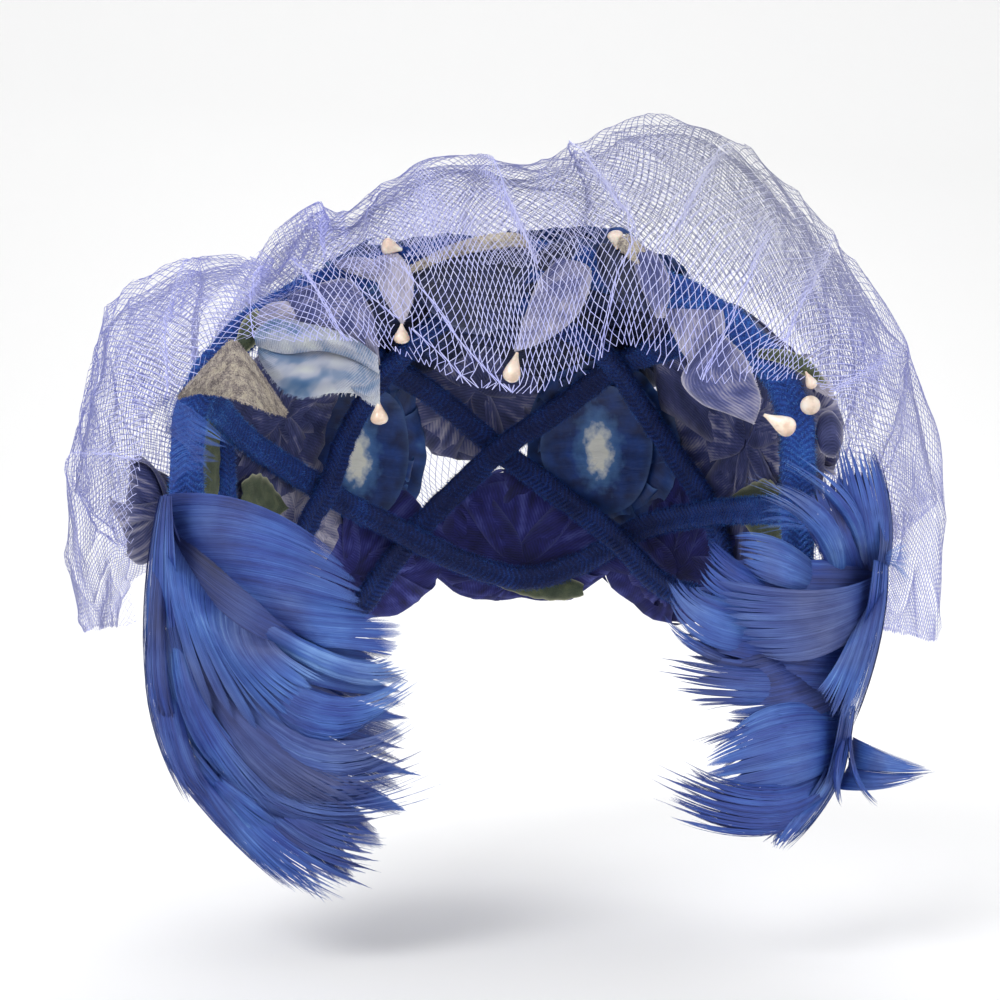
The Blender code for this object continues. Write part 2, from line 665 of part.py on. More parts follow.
def hem_point(share):
    """The back edge of the veil, round behind the head from the left side to the right."""
    turn = math.pi * share
    middle = math.sin(turn)
    drop = HEM_LOW_Z + (HEM_BACK_Z - HEM_LOW_Z) * middle**HEM_POWER
    drop += HEM_WAVE * middle * math.sin(HEM_WAVES * turn)
    wide = 1.0 + HEM_FLARE * middle * math.sin(HEM_WAVES * turn + HEM_TURN)
    back = HEM_FRONT_Y + HEM_DEPTH * middle * wide
    return Vector((-HEM_SIDE * math.cos(turn) * wide, back, drop))


def round_between(start, end, share):
    """A point between two others that keeps its distance from the middle of the veil."""
    a, b = start - VEIL_CENTRE, end - VEIL_CENTRE
    turned = a.normalized().slerp(b.normalized(), share)
    return VEIL_CENTRE + turned * (a.length * (1 - share) + b.length * share)


def veil_point(around, across):
    """A point of the net: around runs from the left to the right, across from front edge to hem."""
    row = Station(*spline(VEIL, around))
    edge = Vector((row.edge_x, row.edge_y, row.edge_z))
    crest = Vector((row.crest_x, row.crest_y, row.crest_z))
    hem = hem_point(around)
    brow = edge.lerp(crest, 0.5) + BROW * math.sin(math.pi * around) ** BROW_POWER
    high = round_between(crest, hem, HIGH_SHARE)
    low = round_between(crest, hem, LOW_SHARE)
    return Vector(spline([edge, brow, crest, high, low, hem], across))


def add_veil():
    around_steps = (len(VEIL) - 1) * VEIL_SIDE_STEPS
    grid = [
        [veil_point(i / around_steps, j / VEIL_CROSS_STEPS) for j in range(VEIL_CROSS_STEPS + 1)]
        for i in range(around_steps + 1)
    ]
    return shell("veil", grid, VEIL_CLOTH, "net")


def main():
    clear_scene()
    front_arch()
    for name, ways, steps in BANDS:
        band_on_dome(name, ways, steps)
    for bloom in BLOOMS:
        add_bloom(bloom)
    for leaf in LEAVES:
        add_leaf(leaf)
    for petal in FRONT_PETALS:
        add_petal(petal)
    for pearl in PEARLS:
        add_pearl(pearl)
    feather_pad("feather_pad_left", LEFT_PLUMES, LEFT_PAD)
    feather_pad("feather_pad_right", RIGHT_PLUMES, RIGHT_PAD)
    add_veil()


main()
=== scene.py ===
"""The dressed hat: velvet bands, cloth flowers and petals, pearl stamens, feathers and net veil.

Tables and sizes are in millimetres and degrees, in the frame of the solid model, and scaled by MM.
Places read from the photograph are pixels of its 1000 x 1000 frame, set at a depth in millimetres.
"""

import math
from collections import namedtuple

import bpy
import numpy as np
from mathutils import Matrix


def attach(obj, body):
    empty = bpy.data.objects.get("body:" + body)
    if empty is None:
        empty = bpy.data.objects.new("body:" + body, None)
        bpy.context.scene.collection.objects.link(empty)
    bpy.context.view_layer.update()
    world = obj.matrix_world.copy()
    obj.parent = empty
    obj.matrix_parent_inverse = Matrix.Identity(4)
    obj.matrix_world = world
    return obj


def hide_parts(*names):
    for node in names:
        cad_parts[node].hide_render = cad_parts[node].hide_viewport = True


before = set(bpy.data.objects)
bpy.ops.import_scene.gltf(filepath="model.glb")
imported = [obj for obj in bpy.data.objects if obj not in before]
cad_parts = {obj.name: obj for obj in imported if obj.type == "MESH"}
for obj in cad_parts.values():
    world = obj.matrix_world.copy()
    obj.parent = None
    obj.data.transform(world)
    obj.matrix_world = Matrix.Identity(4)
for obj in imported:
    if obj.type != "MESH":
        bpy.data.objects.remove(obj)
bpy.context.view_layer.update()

MM = 0.001
SEED = 7

# The head form that the cap follows, as in the solid model.
HALF_WIDTH = 81.0
DEPTH = 113.0
CROWN_RISE = 50.0
ARCH_Y = -20.0
SPRING_Z = -CROWN_RISE
LEG_DROP_LEFT = 66.0
LEG_DROP_RIGHT = 74.0

# The camera of the photograph: level, looking along +Y.
EYE = np.array((2.0, -470.0, -65.0))
LENS = 61.1
SENSOR = 36.0
FRAME = 1000.0
SIGHT = SENSOR / LENS / FRAME

# A sheet's flat cloth is taken as at least this length and width, and the sheet as filling these shares of
# it.
LEAST_FLAT = 10.0
FLAT_SHARES = (0.3, 1.0)

Way = namedtuple("Way", "turn rise lift")
Bloom = namedtuple("Bloom", "name turn rise lift radius below petals notch cup spin cloth pale disc skirt")
Leaf = namedtuple("Leaf", "name turn rise lift length width lean cup")
Fold = namedtuple("Fold", "name cloth pale root_y tip_y belly creases fray upper lower")
Pearl = namedtuple("Pearl", "name x y z lean_x lean_y lean_z length girth")
Fan = namedtuple("Fan", "root middle tip layer split slate tone quill back", defaults=(0, (0, 0)))
Station = namedtuple("Station", "edge_x edge_y edge_z crest_x crest_y crest_z")
Rope = namedtuple("Rope", "around slant start end reach")
Layer = namedtuple("Layer", "name first last near deep mesh inward ragged")
Cloth = namedtuple("Cloth", "name deep middle pale edge roughness sheen streak weave spotted")
Lamp = namedtuple("Lamp", "name place aim size power")

# The bands on the head form: how far round it each place is, how high, and how far off it.
BACK_RIM = (
    Way(2.0, 18.0, 0.0),
    Way(14.0, 12.0, 0.0),
    Way(47.0, -13.0, -1.0),
    Way(68.0, -29.5, -1.5),
    Way(83.0, -41.0, -0.5),
    Way(97.0, -47.0, 1.0),
    Way(110.0, -41.0, 2.5),
    Way(125.0, -27.0, 3.0),
    Way(145.0, -21.5, 1.0),
    Way(166.0, -20.5, 0.0),
    Way(178.0, -20.5, 0.0),
)
STRIP_A = (
    Way(2.2, 40.0, 0.0),
    Way(22.0, 39.0, 1.0),
    Way(42.0, 36.0, 2.5),
    Way(60.0, 31.0, 3.5),
    Way(77.0, 18.5, 4.0),
    Way(90.0, 3.0, 4.0),
    Way(104.0, -14.0, 2.5),
    Way(120.0, -32.0, -1.2),
    Way(132.0, -48.0, -1.0),
    Way(146.0, -53.0, 0.0),
    Way(162.0, -57.0, 0.0),
    Way(178.0, -59.0, 0.0),
)
STRIP_B = (
    Way(177.5, 38.0, 0.5),
    Way(158.0, 37.0, 2.5),
    Way(138.0, 33.5, 4.5),
    Way(121.0, 28.5, 4.5),
    Way(106.0, 16.5, 1.5),
    Way(91.0, 1.5, 0.0),
    Way(75.0, -24.0, 2.0),
    Way(67.0, -40.0, 2.6),
    Way(57.0, -58.0, 1.0),
    Way(44.0, -65.0, 0.0),
    Way(24.0, -69.0, 0.0),
    Way(2.0, -70.0, 0.0),
)
STRIP_C = (
    Way(91.0, 88.0, -1.0),
    Way(97.0, 70.0, -2.0),
    Way(110.0, 53.0, -0.5),
    Way(121.0, 38.0, 0.3),
    Way(126.5, 12.0, 3.0),
    Way(138.5, -16.0, 5.0),
    Way(143.0, -31.0, 5.0),
    Way(147.0, -57.0, 4.2),
)
STRIP_D = (
    Way(171.0, 77.0, 0.0),
    Way(128.0, 74.5, 1.5),
    Way(82.0, 60.0, 2.2),
    Way(66.0, 42.0, 0.0),
    Way(58.0, 24.0, -1.5),
    Way(51.0, 2.0, -4.2),
    Way(46.5, -13.5, -5.2),
    Way(40.0, -30.0, -4.6),
    Way(33.0, -72.0, -4.0),
)
SIDE_STRUT = (
    Way(22.5, 10.0, 3.9),
    Way(23.5, -12.0, 3.9),
    Way(24.0, -40.0, 4.0),
    Way(24.0, -73.0, 4.0),
)
BANDS = {
    "back_rim": BACK_RIM,
    "strip_a": STRIP_A,
    "strip_b": STRIP_B,
    "strip_c": STRIP_C,
    "strip_d": STRIP_D,
    "side_strut": SIDE_STRUT,
}
BAND_HALF_WIDTH = 3.8
BAND_HALF_THICK = 2.3
ARCH_HALF_RADIAL = 4.4
ARCH_HALF_THICK = 3.2
BAND_SIDES = 20
BAND_STEP = 1.6
BAND_GROOVE = 0.5
BAND_SWELL = 0.05
# The pile of a band: hairs to a millimetre, how far they lean, how long and half how wide they are.
PILE_COUNT = 60
PILE_LEAN = 0.35
PILE_LONG = (0.5, 1.25)
PILE_HALF = 0.075
# How far apart the ribs of the velvet are.
VELVET_RIB = 1.7

# The flowers on the outside of the cap. Below is the share of its size that a flower keeps
# downwards, notch and cup how deep a petal is notched and dished, spin where the first one lies,
# pale how light its cloth is, disc whether a middle sheet lies inside, and skirt how much
# larger the petals beneath are, where there are any.
BLOOMS = (
    Bloom("satin_flower_left", 60.0, -2.0, 7.6, 23.0, 1.0, 5, 0.10, 2.0, 10, "blue_satin", 0.0, 1, 1.15),
    Bloom("satin_flower_right", 113.5, 1.0, 4.8, 23.0, 1.0, 5, 0.10, 2.0, 40, "blue_satin", 0.0, 1, 1.15),
    Bloom("pansy_back", 95.5, -41.0, 7.1, 29.0, 0.42, 5, 0.22, 2.0, 18, "purple_velvet", 0.05, 0, 1.1),
    Bloom("pansy_low_left", 59.0, -44.0, 6.8, 25.0, 0.50, 5, 0.26, 2.0, 54, "purple_velvet", 0.3, 0, 1.38),
    Bloom("pansy_low_right", 131.0, -42.0, 6.4, 26.0, 0.55, 5, 0.26, 2.0, 0, "purple_velvet", 0.1, 0, 1.36),
    Bloom(
        "lavender_flower_left", 43.0, -25.0, 4.2, 20.0, 1.0, 5, 0.26, 2.0, 30, "grey_organdy", 0.62, 0, 1.4
    ),
    Bloom("organdy_flower_left", 37.0, 11.0, 1.7, 21.0, 1.0, 6, 0.20, 2.0, 0, "grey_organdy", 0.0, 0, 1.45),
    Bloom("organdy_flower_right", 150.0, 3.0, 5.8, 26.0, 1.0, 6, 0.20, 2.0, 20, "grey_organdy", 0.15, 0, 1.9),
    Bloom("grey_flower_back", 86.0, 19.0, 10.2, 22.0, 1.0, 5, 0.26, 2.0, 0, "grey_organdy", 0.12, 0, 1.1),
    Bloom("night_flower_left", 66.0, 41.0, 5.7, 26.0, 1.0, 5, 0.22, 2.0, 0, "navy_satin", 0.1, 0, 1.2),
    Bloom("night_flower_right", 108.0, 42.0, 8.1, 26.0, 1.0, 5, 0.22, 2.0, 24, "navy_satin", 0.1, 0, 1.6),
    Bloom("crown_flower_left", 48.0, 62.0, 5.4, 23.5, 1.0, 5, 0.22, 2.0, 12, "blue_satin", 0.1, 0, 1.15),
    Bloom("crown_flower_right", 138.0, 62.0, 7.0, 23.5, 1.0, 5, 0.22, 2.0, 0, "blue_satin", 0.1, 0, 1.15),
    Bloom("side_flower_left", 8.0, -20.0, 8.9, 15.0, 1.0, 5, 0.26, 7.0, 36, "grey_organdy", 0.12, 0, 0),
    Bloom("side_flower_right", 168.0, 6.0, 7.7, 14.0, 1.0, 5, 0.26, 5.0, 0, "grey_organdy", 0.3, 0, 0),
)
PETAL_ROWS = 16
PETAL_COLUMNS = 17
# How much wider a petal is than its share of the round.
PETAL_LAP = 1.3
# How petals vary in turn, size and tone, and how much painted shade darkens the ones beneath.
PETAL_TURNS = 0.08
PETAL_SIZES = (0.94, 1.04)
PETAL_TONES = 0.14
UNDER_SHADE = 0.22
# How high a petal's ruffles, pleats and tilt go, and how far each lies over the one before.
RUFFLE_HIGH = 0.9
PLEAT_HIGH = 0.35
TILT_HIGH = 0.55
NEXT_HIGH = 0.15

LEAVES = (
    Leaf("leaf_left", 16.0, -9.0, 6.4, 30.0, 13.0, 170.0, 1.5),
    Leaf("leaf_left", 17.5, 1.0, 2.8, 32.0, 22.0, 86.0, 1.0),
    Leaf("leaf_low_left", 32.0, -22.0, 6.9, 30.0, 14.0, 190.0, 1.5),
    Leaf("leaf_low_left", 33.0, -17.5, 0.9, 26.0, 15.0, 190.0, 0.6),
    Leaf("leaf_side_left", 8.0, -42.0, 7.4, 26.0, 12.0, 100.0, 2.0),
    Leaf("leaf_right", 156.0, -21.0, 3.4, 40.0, 20.0, 10.0, 1.5),
    Leaf("leaf_back", 99.5, -50.0, 4.0, 30.0, 9.0, 4.0, 0.8),
)
LEAF_ROWS = 26
LEAF_COLUMNS = 13

# The petals over the front arch: each edge runs from the root to the tip in picture pixels. Several
# sheets may stand for one node. Fray is how long the loose threads at its lower edge are.
FOLDS = (
    Fold(
        "suede_leaf", "tan_suede", 0.5, -26, -31, 3.0, 2, 0.7,
        ((178, 395), (201, 370), (220, 350), (234, 340), (250, 356), (269, 384), (287, 412)),
        ((178, 399), (198, 394), (220, 396), (243, 402), (262, 410), (275, 414), (286, 416)),
    ),
    Fold(
        "suede_leaf", "olive_velvet", 0.4, -23.5, -24.5, 0.5, 1, 0.5,
        ((236, 342), (242, 322), (256, 308)),
        ((246, 352), (257, 342), (266, 322)),
    ),
    Fold(
        "blue_petal_left", "dyed_satin", 0.5, -25, -31, 2.0, 2, 1.2,
        ((258, 344), (290, 350), (330, 352), (360, 358), (380, 370)),
        ((258, 352), (263, 366), (282, 389), (303, 397), (333, 393), (358, 394), (380, 399)),
    ),
    Fold(
        "blue_petal_left", "dyed_satin", 0.6, -26.5, -33, 3.0, 1, 0,
        ((253, 332), (272, 319), (301, 322), (333, 330), (357, 340), (378, 356)),
        ((256, 346), (285, 354), (320, 351), (352, 359), (379, 374)),
    ),
    Fold(
        "blue_petal_left", "dyed_satin", 0.7, -30, -32, 0.8, 1, 0.8,
        ((350, 386), (366, 384), (380, 376)),
        ((354, 392), (368, 402), (380, 407)),
    ),
    Fold(
        "grey_petal_left", "grey_organdy", 0.85, -24, -26, 1.0, 1, 0,
        ((253, 318), (266, 305), (284, 301), (300, 306)),
        ((256, 328), (275, 332), (300, 328)),
    ),
    Fold(
        "grey_petal_left", "grey_organdy", 0.40, -25, -31, 2.5, 2, 0.8,
        ((287, 298), (302, 288), (324, 282), (347, 279), (362, 294), (374, 318), (380, 362)),
        ((288, 300), (293, 314), (303, 327), (330, 332), (350, 339), (364, 348), (380, 363)),
    ),
    Fold(
        "pale_petal_left", "grey_organdy", 0.8, -24, -27, 1.5, 2, 0.4,
        ((333, 262), (352, 257), (376, 260), (398, 274), (412, 301)),
        ((334, 266), (350, 273), (372, 280), (392, 290), (411, 303)),
    ),
    Fold(
        "narrow_petal_left", "grey_organdy", 0.95, -25, -31, 2.0, 1, 0.4,
        ((377, 256), (377, 280), (386, 302), (401, 324)),
        ((398, 253), (411, 272), (413, 300), (403, 325)),
    ),
    Fold(
        "velvet_petal_left", "navy_satin", 0.0, -23.5, -25, 2.0, 3, 0,
        ((409, 269), (428, 258), (452, 248), (486, 239), (520, 238), (534, 250)),
        ((411, 274), (424, 304), (450, 325), (482, 334), (512, 316), (535, 254)),
    ),
    Fold(
        "velvet_petal_left", "tan_suede", 0.9, -26, -27, 1.2, 1, 0.5,
        ((408, 267), (428, 256), (452, 244), (486, 235), (516, 233), (531, 243)),
        ((411, 273), (430, 266), (453, 257), (486, 250), (515, 246), (530, 249)),
    ),
    Fold(
        "grey_petal_middle", "grey_organdy", 0.60, -27, -35, 3.0, 1, 0.3,
        ((558, 258), (538, 281), (524, 318), (514, 351)),
        ((563, 258), (590, 268), (587, 297), (572, 321), (545, 341), (515, 352)),
    ),
    Fold(
        "velvet_petal_middle", "navy_satin", 0.0, -23.5, -25, 1.0, 1, 0,
        ((533, 262), (548, 245), (576, 236)),
        ((536, 270), (556, 270), (580, 250)),
    ),
    Fold(
        "velvet_petal_right", "navy_satin", 0.05, -23.5, -27, 2.0, 2, 0,
        ((596, 250), (600, 276), (617, 300), (645, 313)),
        ((600, 243), (626, 245), (648, 267), (652, 295), (646, 314)),
    ),
    Fold(
        "velvet_petal_right", "grey_organdy", 0.35, -26, -29, 2.0, 1, 0.5,
        ((618, 248), (632, 262), (640, 286), (656, 318)),
        ((632, 240), (658, 256), (670, 284), (664, 318)),
    ),
    Fold(
        "velvet_petal_right", "tan_suede", 0.9, -27, -28, 1.5, 1, 0.5,
        ((616, 240), (622, 252), (640, 266)),
        ((628, 234), (642, 246), (650, 264)),
    ),
    Fold(
        "grey_petal_right", "grey_organdy", 0.62, -24, -28, 2.0, 1, 0,
        ((661, 308), (672, 332), (683, 354), (702, 377)),
        ((723, 310), (725, 328), (718, 351), (703, 377)),
    ),
    Fold(
        "organdy_petal_right", "grey_organdy", 0.42, -29, -36, 3.5, 2, 0.5,
        ((703, 344), (681, 378), (700, 403), (728, 414), (753, 424)),
        ((722, 333), (745, 357), (755, 380), (761, 401), (754, 424)),
    ),
    Fold(
        "thin_leaf_right", "olive_velvet", 0.4, -23.5, -26, 0.8, 1, 0,
        ((757, 349), (785, 350), (809, 360), (826, 382)),
        ((757, 357), (785, 365), (807, 377), (825, 384)),
    ),
    Fold(
        "side_flower_right", "grey_organdy", 0.05, -20, -21, 1.5, 1, 0.4,
        ((815, 433), (820, 415), (832, 411), (843, 426)),
        ((816, 437), (822, 453), (835, 457), (843, 441)),
    ),
    Fold(
        "side_flower_right", "grey_organdy", 0.98, -21, -22, 1.0, 1, 0.4,
        ((804, 374), (818, 371), (833, 385)),
        ((807, 384), (820, 393), (834, 399)),
    ),
)
FOLD_ROWS = 30
FOLD_COLUMNS = 17
CREASE_HIGH = 0.9
BILLOW_HIGH = 0.5
FOLD_SLOTS = {"dyed_satin": "blue_satin"}
# Fuzz on suede and olive cloth: hairs to a square millimetre, how long and half how wide.
FUZZ_COUNT = 8
FUZZ_LONG = 0.8
FUZZ_HALF = 0.06
# Loose threads: how far apart they are, how deep they start in the cloth, and half their width.
FRAY_PITCH = 0.33
FRAY_ROOT = 0.3
FRAY_HALF = 0.075

PEARLS = (
    Pearl("pearl_far_left", -29.4, -31.4, -39.6, 0.05, 0.0, -1.0, 6.0, 4.6),
    Pearl("pearl_left", -23.4, -31.6, -19.5, 0.0, 0.0, -1.0, 5.2, 4.2),
    Pearl("pearl_top_left", -23.6, -25.2, 0.6, -0.9, 0.0, 0.2, 5.6, 4.6),
    Pearl("pearl_middle", 6.4, -35.6, -27.2, -0.25, 0.0, -1.0, 8.0, 4.6),
    Pearl("pearl_top_right", 32.6, -26.0, 0.6, -0.15, -0.3, 1.0, 5.0, 4.2),
    Pearl("pearl_right", 69.4, -36.4, -43.2, 0.85, 0.0, -0.45, 9.0, 5.2),
    Pearl("pearl_small_right", 81.6, -27.8, -31.5, 0.5, 0.0, -1.0, 5.0, 3.0),
    Pearl("pearl_far_right", 83.4, -23.2, -39.0, -0.1, -0.9, -0.3, 5.6, 5.2),
)
# How wide a pearl is at places from its neck to its end, both as shares.
PEARL_PROFILE = (
    (0.0, 0.16), (0.12, 0.26), (0.3, 0.5), (0.48, 0.78), (0.64, 0.96), (0.76, 1.0), (0.88, 0.84),
    (0.96, 0.52), (1.0, 0.02),
)
PEARL_RINGS = 26
PEARL_SIDES = 24

# Feather vanes as fans of strands. Three curves in picture pixels say where the strands start,
# pass and end. Layer is how far forward the fan lies, split how far its ends part into locks,
# slate how grey its blue is, tone how light it is, and quill whether a shaft runs along its start.
# Tone differs from feather to feather, and fans that lie behind others are darker: painted shade.
# Back is how far its first and its last strand lie towards the back of the pad.
LEFT_FANS = (
    Fan(
        ((166, 510), (176, 600), (200, 760)), ((250, 560), (262, 690), (258, 800)),
        ((335, 600), (372, 660), (380, 730), (378, 785), (350, 835), (306, 875)), 0, 0.5, 0.2, 0.3, 0, (1, 1),
    ),
    Fan(
        ((165, 498), (160, 496), (172, 496)), ((151, 590), (146, 588), (178, 586)),
        ((151, 680), (147, 684), (190, 690)), 0.0, 0.4, 0.3, 0.34, 0, (1, 0),
    ),
    Fan(
        ((151, 640), (147, 636), (176, 626)), ((156, 720), (153, 716), (196, 700)),
        ((187, 794), (185, 798), (222, 780)), 0.4, 0.4, 0.1, 0.42, 0, (1, 0),
    ),
    Fan(
        ((168, 760), (165, 756), (188, 740)), ((220, 820), (217, 824), (246, 810)),
        ((286, 884), (288, 888), (322, 896)), 0.8, 0.5, 0.0, 0.46, 0, (1, 0),
    ),
    Fan(
        ((166, 510), (176, 600), (200, 760)), ((250, 560), (262, 690), (258, 800)),
        ((352, 600), (392, 660), (398, 730), (396, 790), (364, 850), (316, 890)), -1.2, 0.3, 0.3, 0.22,
    ),
    Fan(
        ((170, 560), (180, 640), (205, 745)), ((262, 620), (268, 720), (270, 805)),
        ((384, 640), (402, 690), (404, 744), (404, 790), (370, 852), (338, 890)), -0.4, 0.6, 0.2, 0.36,
    ),
    Fan(((160, 500), (173, 532)), ((147, 647), (166, 650)), ((156, 713), (182, 737)), 0.0, 0.3, 0.2, 0.30),
    Fan(((153, 640), (176, 652)), ((161, 733), (188, 737)), ((191, 800), (211, 786)), 0.4, 0.4, 0.1, 0.42),
    Fan(((156, 700), (192, 760)), ((226, 826), (240, 812)), ((290, 889), (334, 901)), 0.8, 0.5, 0.0, 0.48, 1),
    Fan(
        ((188, 730), (212, 740)), ((236, 834), (272, 818)), ((326, 900), (358, 892), (374, 866)),
        1.2, 0.6, 0.1, 0.42,
    ),
    Fan(
        ((222, 742), (240, 742)), ((272, 836), (308, 800)),
        ((342, 880), (374, 862), (379, 836), (374, 806)), 1.6, 0.6, 0.35, 0.38,
    ),
    Fan(
        ((194, 765), (204, 762)), ((228, 806), (240, 782)), ((256, 846), (280, 828), (266, 798)),
        2.2, 0.5, 0.0, 0.5,
    ),
    Fan(
        ((178, 640), (190, 630)), ((248, 800), (276, 782)), ((368, 812), (400, 813), (421, 796), (419, 778)),
        2.4, 0.8, 0.1, 0.5,
    ),
    Fan(
        ((178, 630), (190, 620)), ((260, 784), (288, 752)), ((376, 788), (412, 776), (411, 752)),
        2.9, 0.6, 0.5, 0.45,
    ),
    Fan(
        ((178, 615), (192, 605)), ((278, 762), (298, 728)), ((388, 766), (406, 738), (404, 719)),
        3.4, 0.4, 0.5, 0.5,
    ),
    Fan(
        ((178, 630), (192, 640)), ((232, 750), (262, 728)), ((292, 803), (344, 806), (380, 786)),
        3.9, 0.3, 0.8, 0.52,
    ),
    Fan(
        ((172, 600), (186, 600)), ((181, 712), (206, 702)), ((234, 786), (264, 808), (296, 802)),
        4.3, 0.4, 0.15, 0.6,
    ),
    Fan(
        ((196, 590), (206, 580)), ((318, 672), (322, 648)), ((398, 681), (403, 670), (380, 656)),
        3.6, 0.3, 0.0, 0.72,
    ),
    Fan(
        ((184, 600), (196, 580)), ((292, 730), (306, 688)), ((376, 714), (413, 692), (402, 677)),
        4.4, 0.35, 0.25, 0.45,
    ),
    Fan(
        ((168, 529), (192, 560), (220, 589), (241, 604), (269, 629)),
        ((171, 600), (197, 621), (224, 645), (250, 656), (283, 652)),
        ((204, 715), (246, 724), (285, 720), (308, 705), (322, 675)), 5.2, 0.45, 0.45, 0.62,
    ),
    Fan(
        ((163, 495), (178, 543), (207, 577), (250, 610), (293, 648)),
        ((246, 501), (256, 545), (286, 592), (311, 622), (338, 648)),
        ((326, 545), (350, 580), (357, 608), (393, 626), (389, 655)), 6.0, 0.12, 0.2, 0.5, 1,
    ),
    Fan(
        ((163, 398), (166, 432)), ((196, 412), (190, 452)), ((246, 462), (228, 446), (204, 480)),
        1.6, 0.92, 0.1, 0.55,
    ),
    Fan(
        ((164, 428), (170, 492)), ((186, 420), (190, 470)), ((216, 424), (220, 452), (214, 482)),
        1.2, 0.95, 0.0, 0.45,
    ),
)
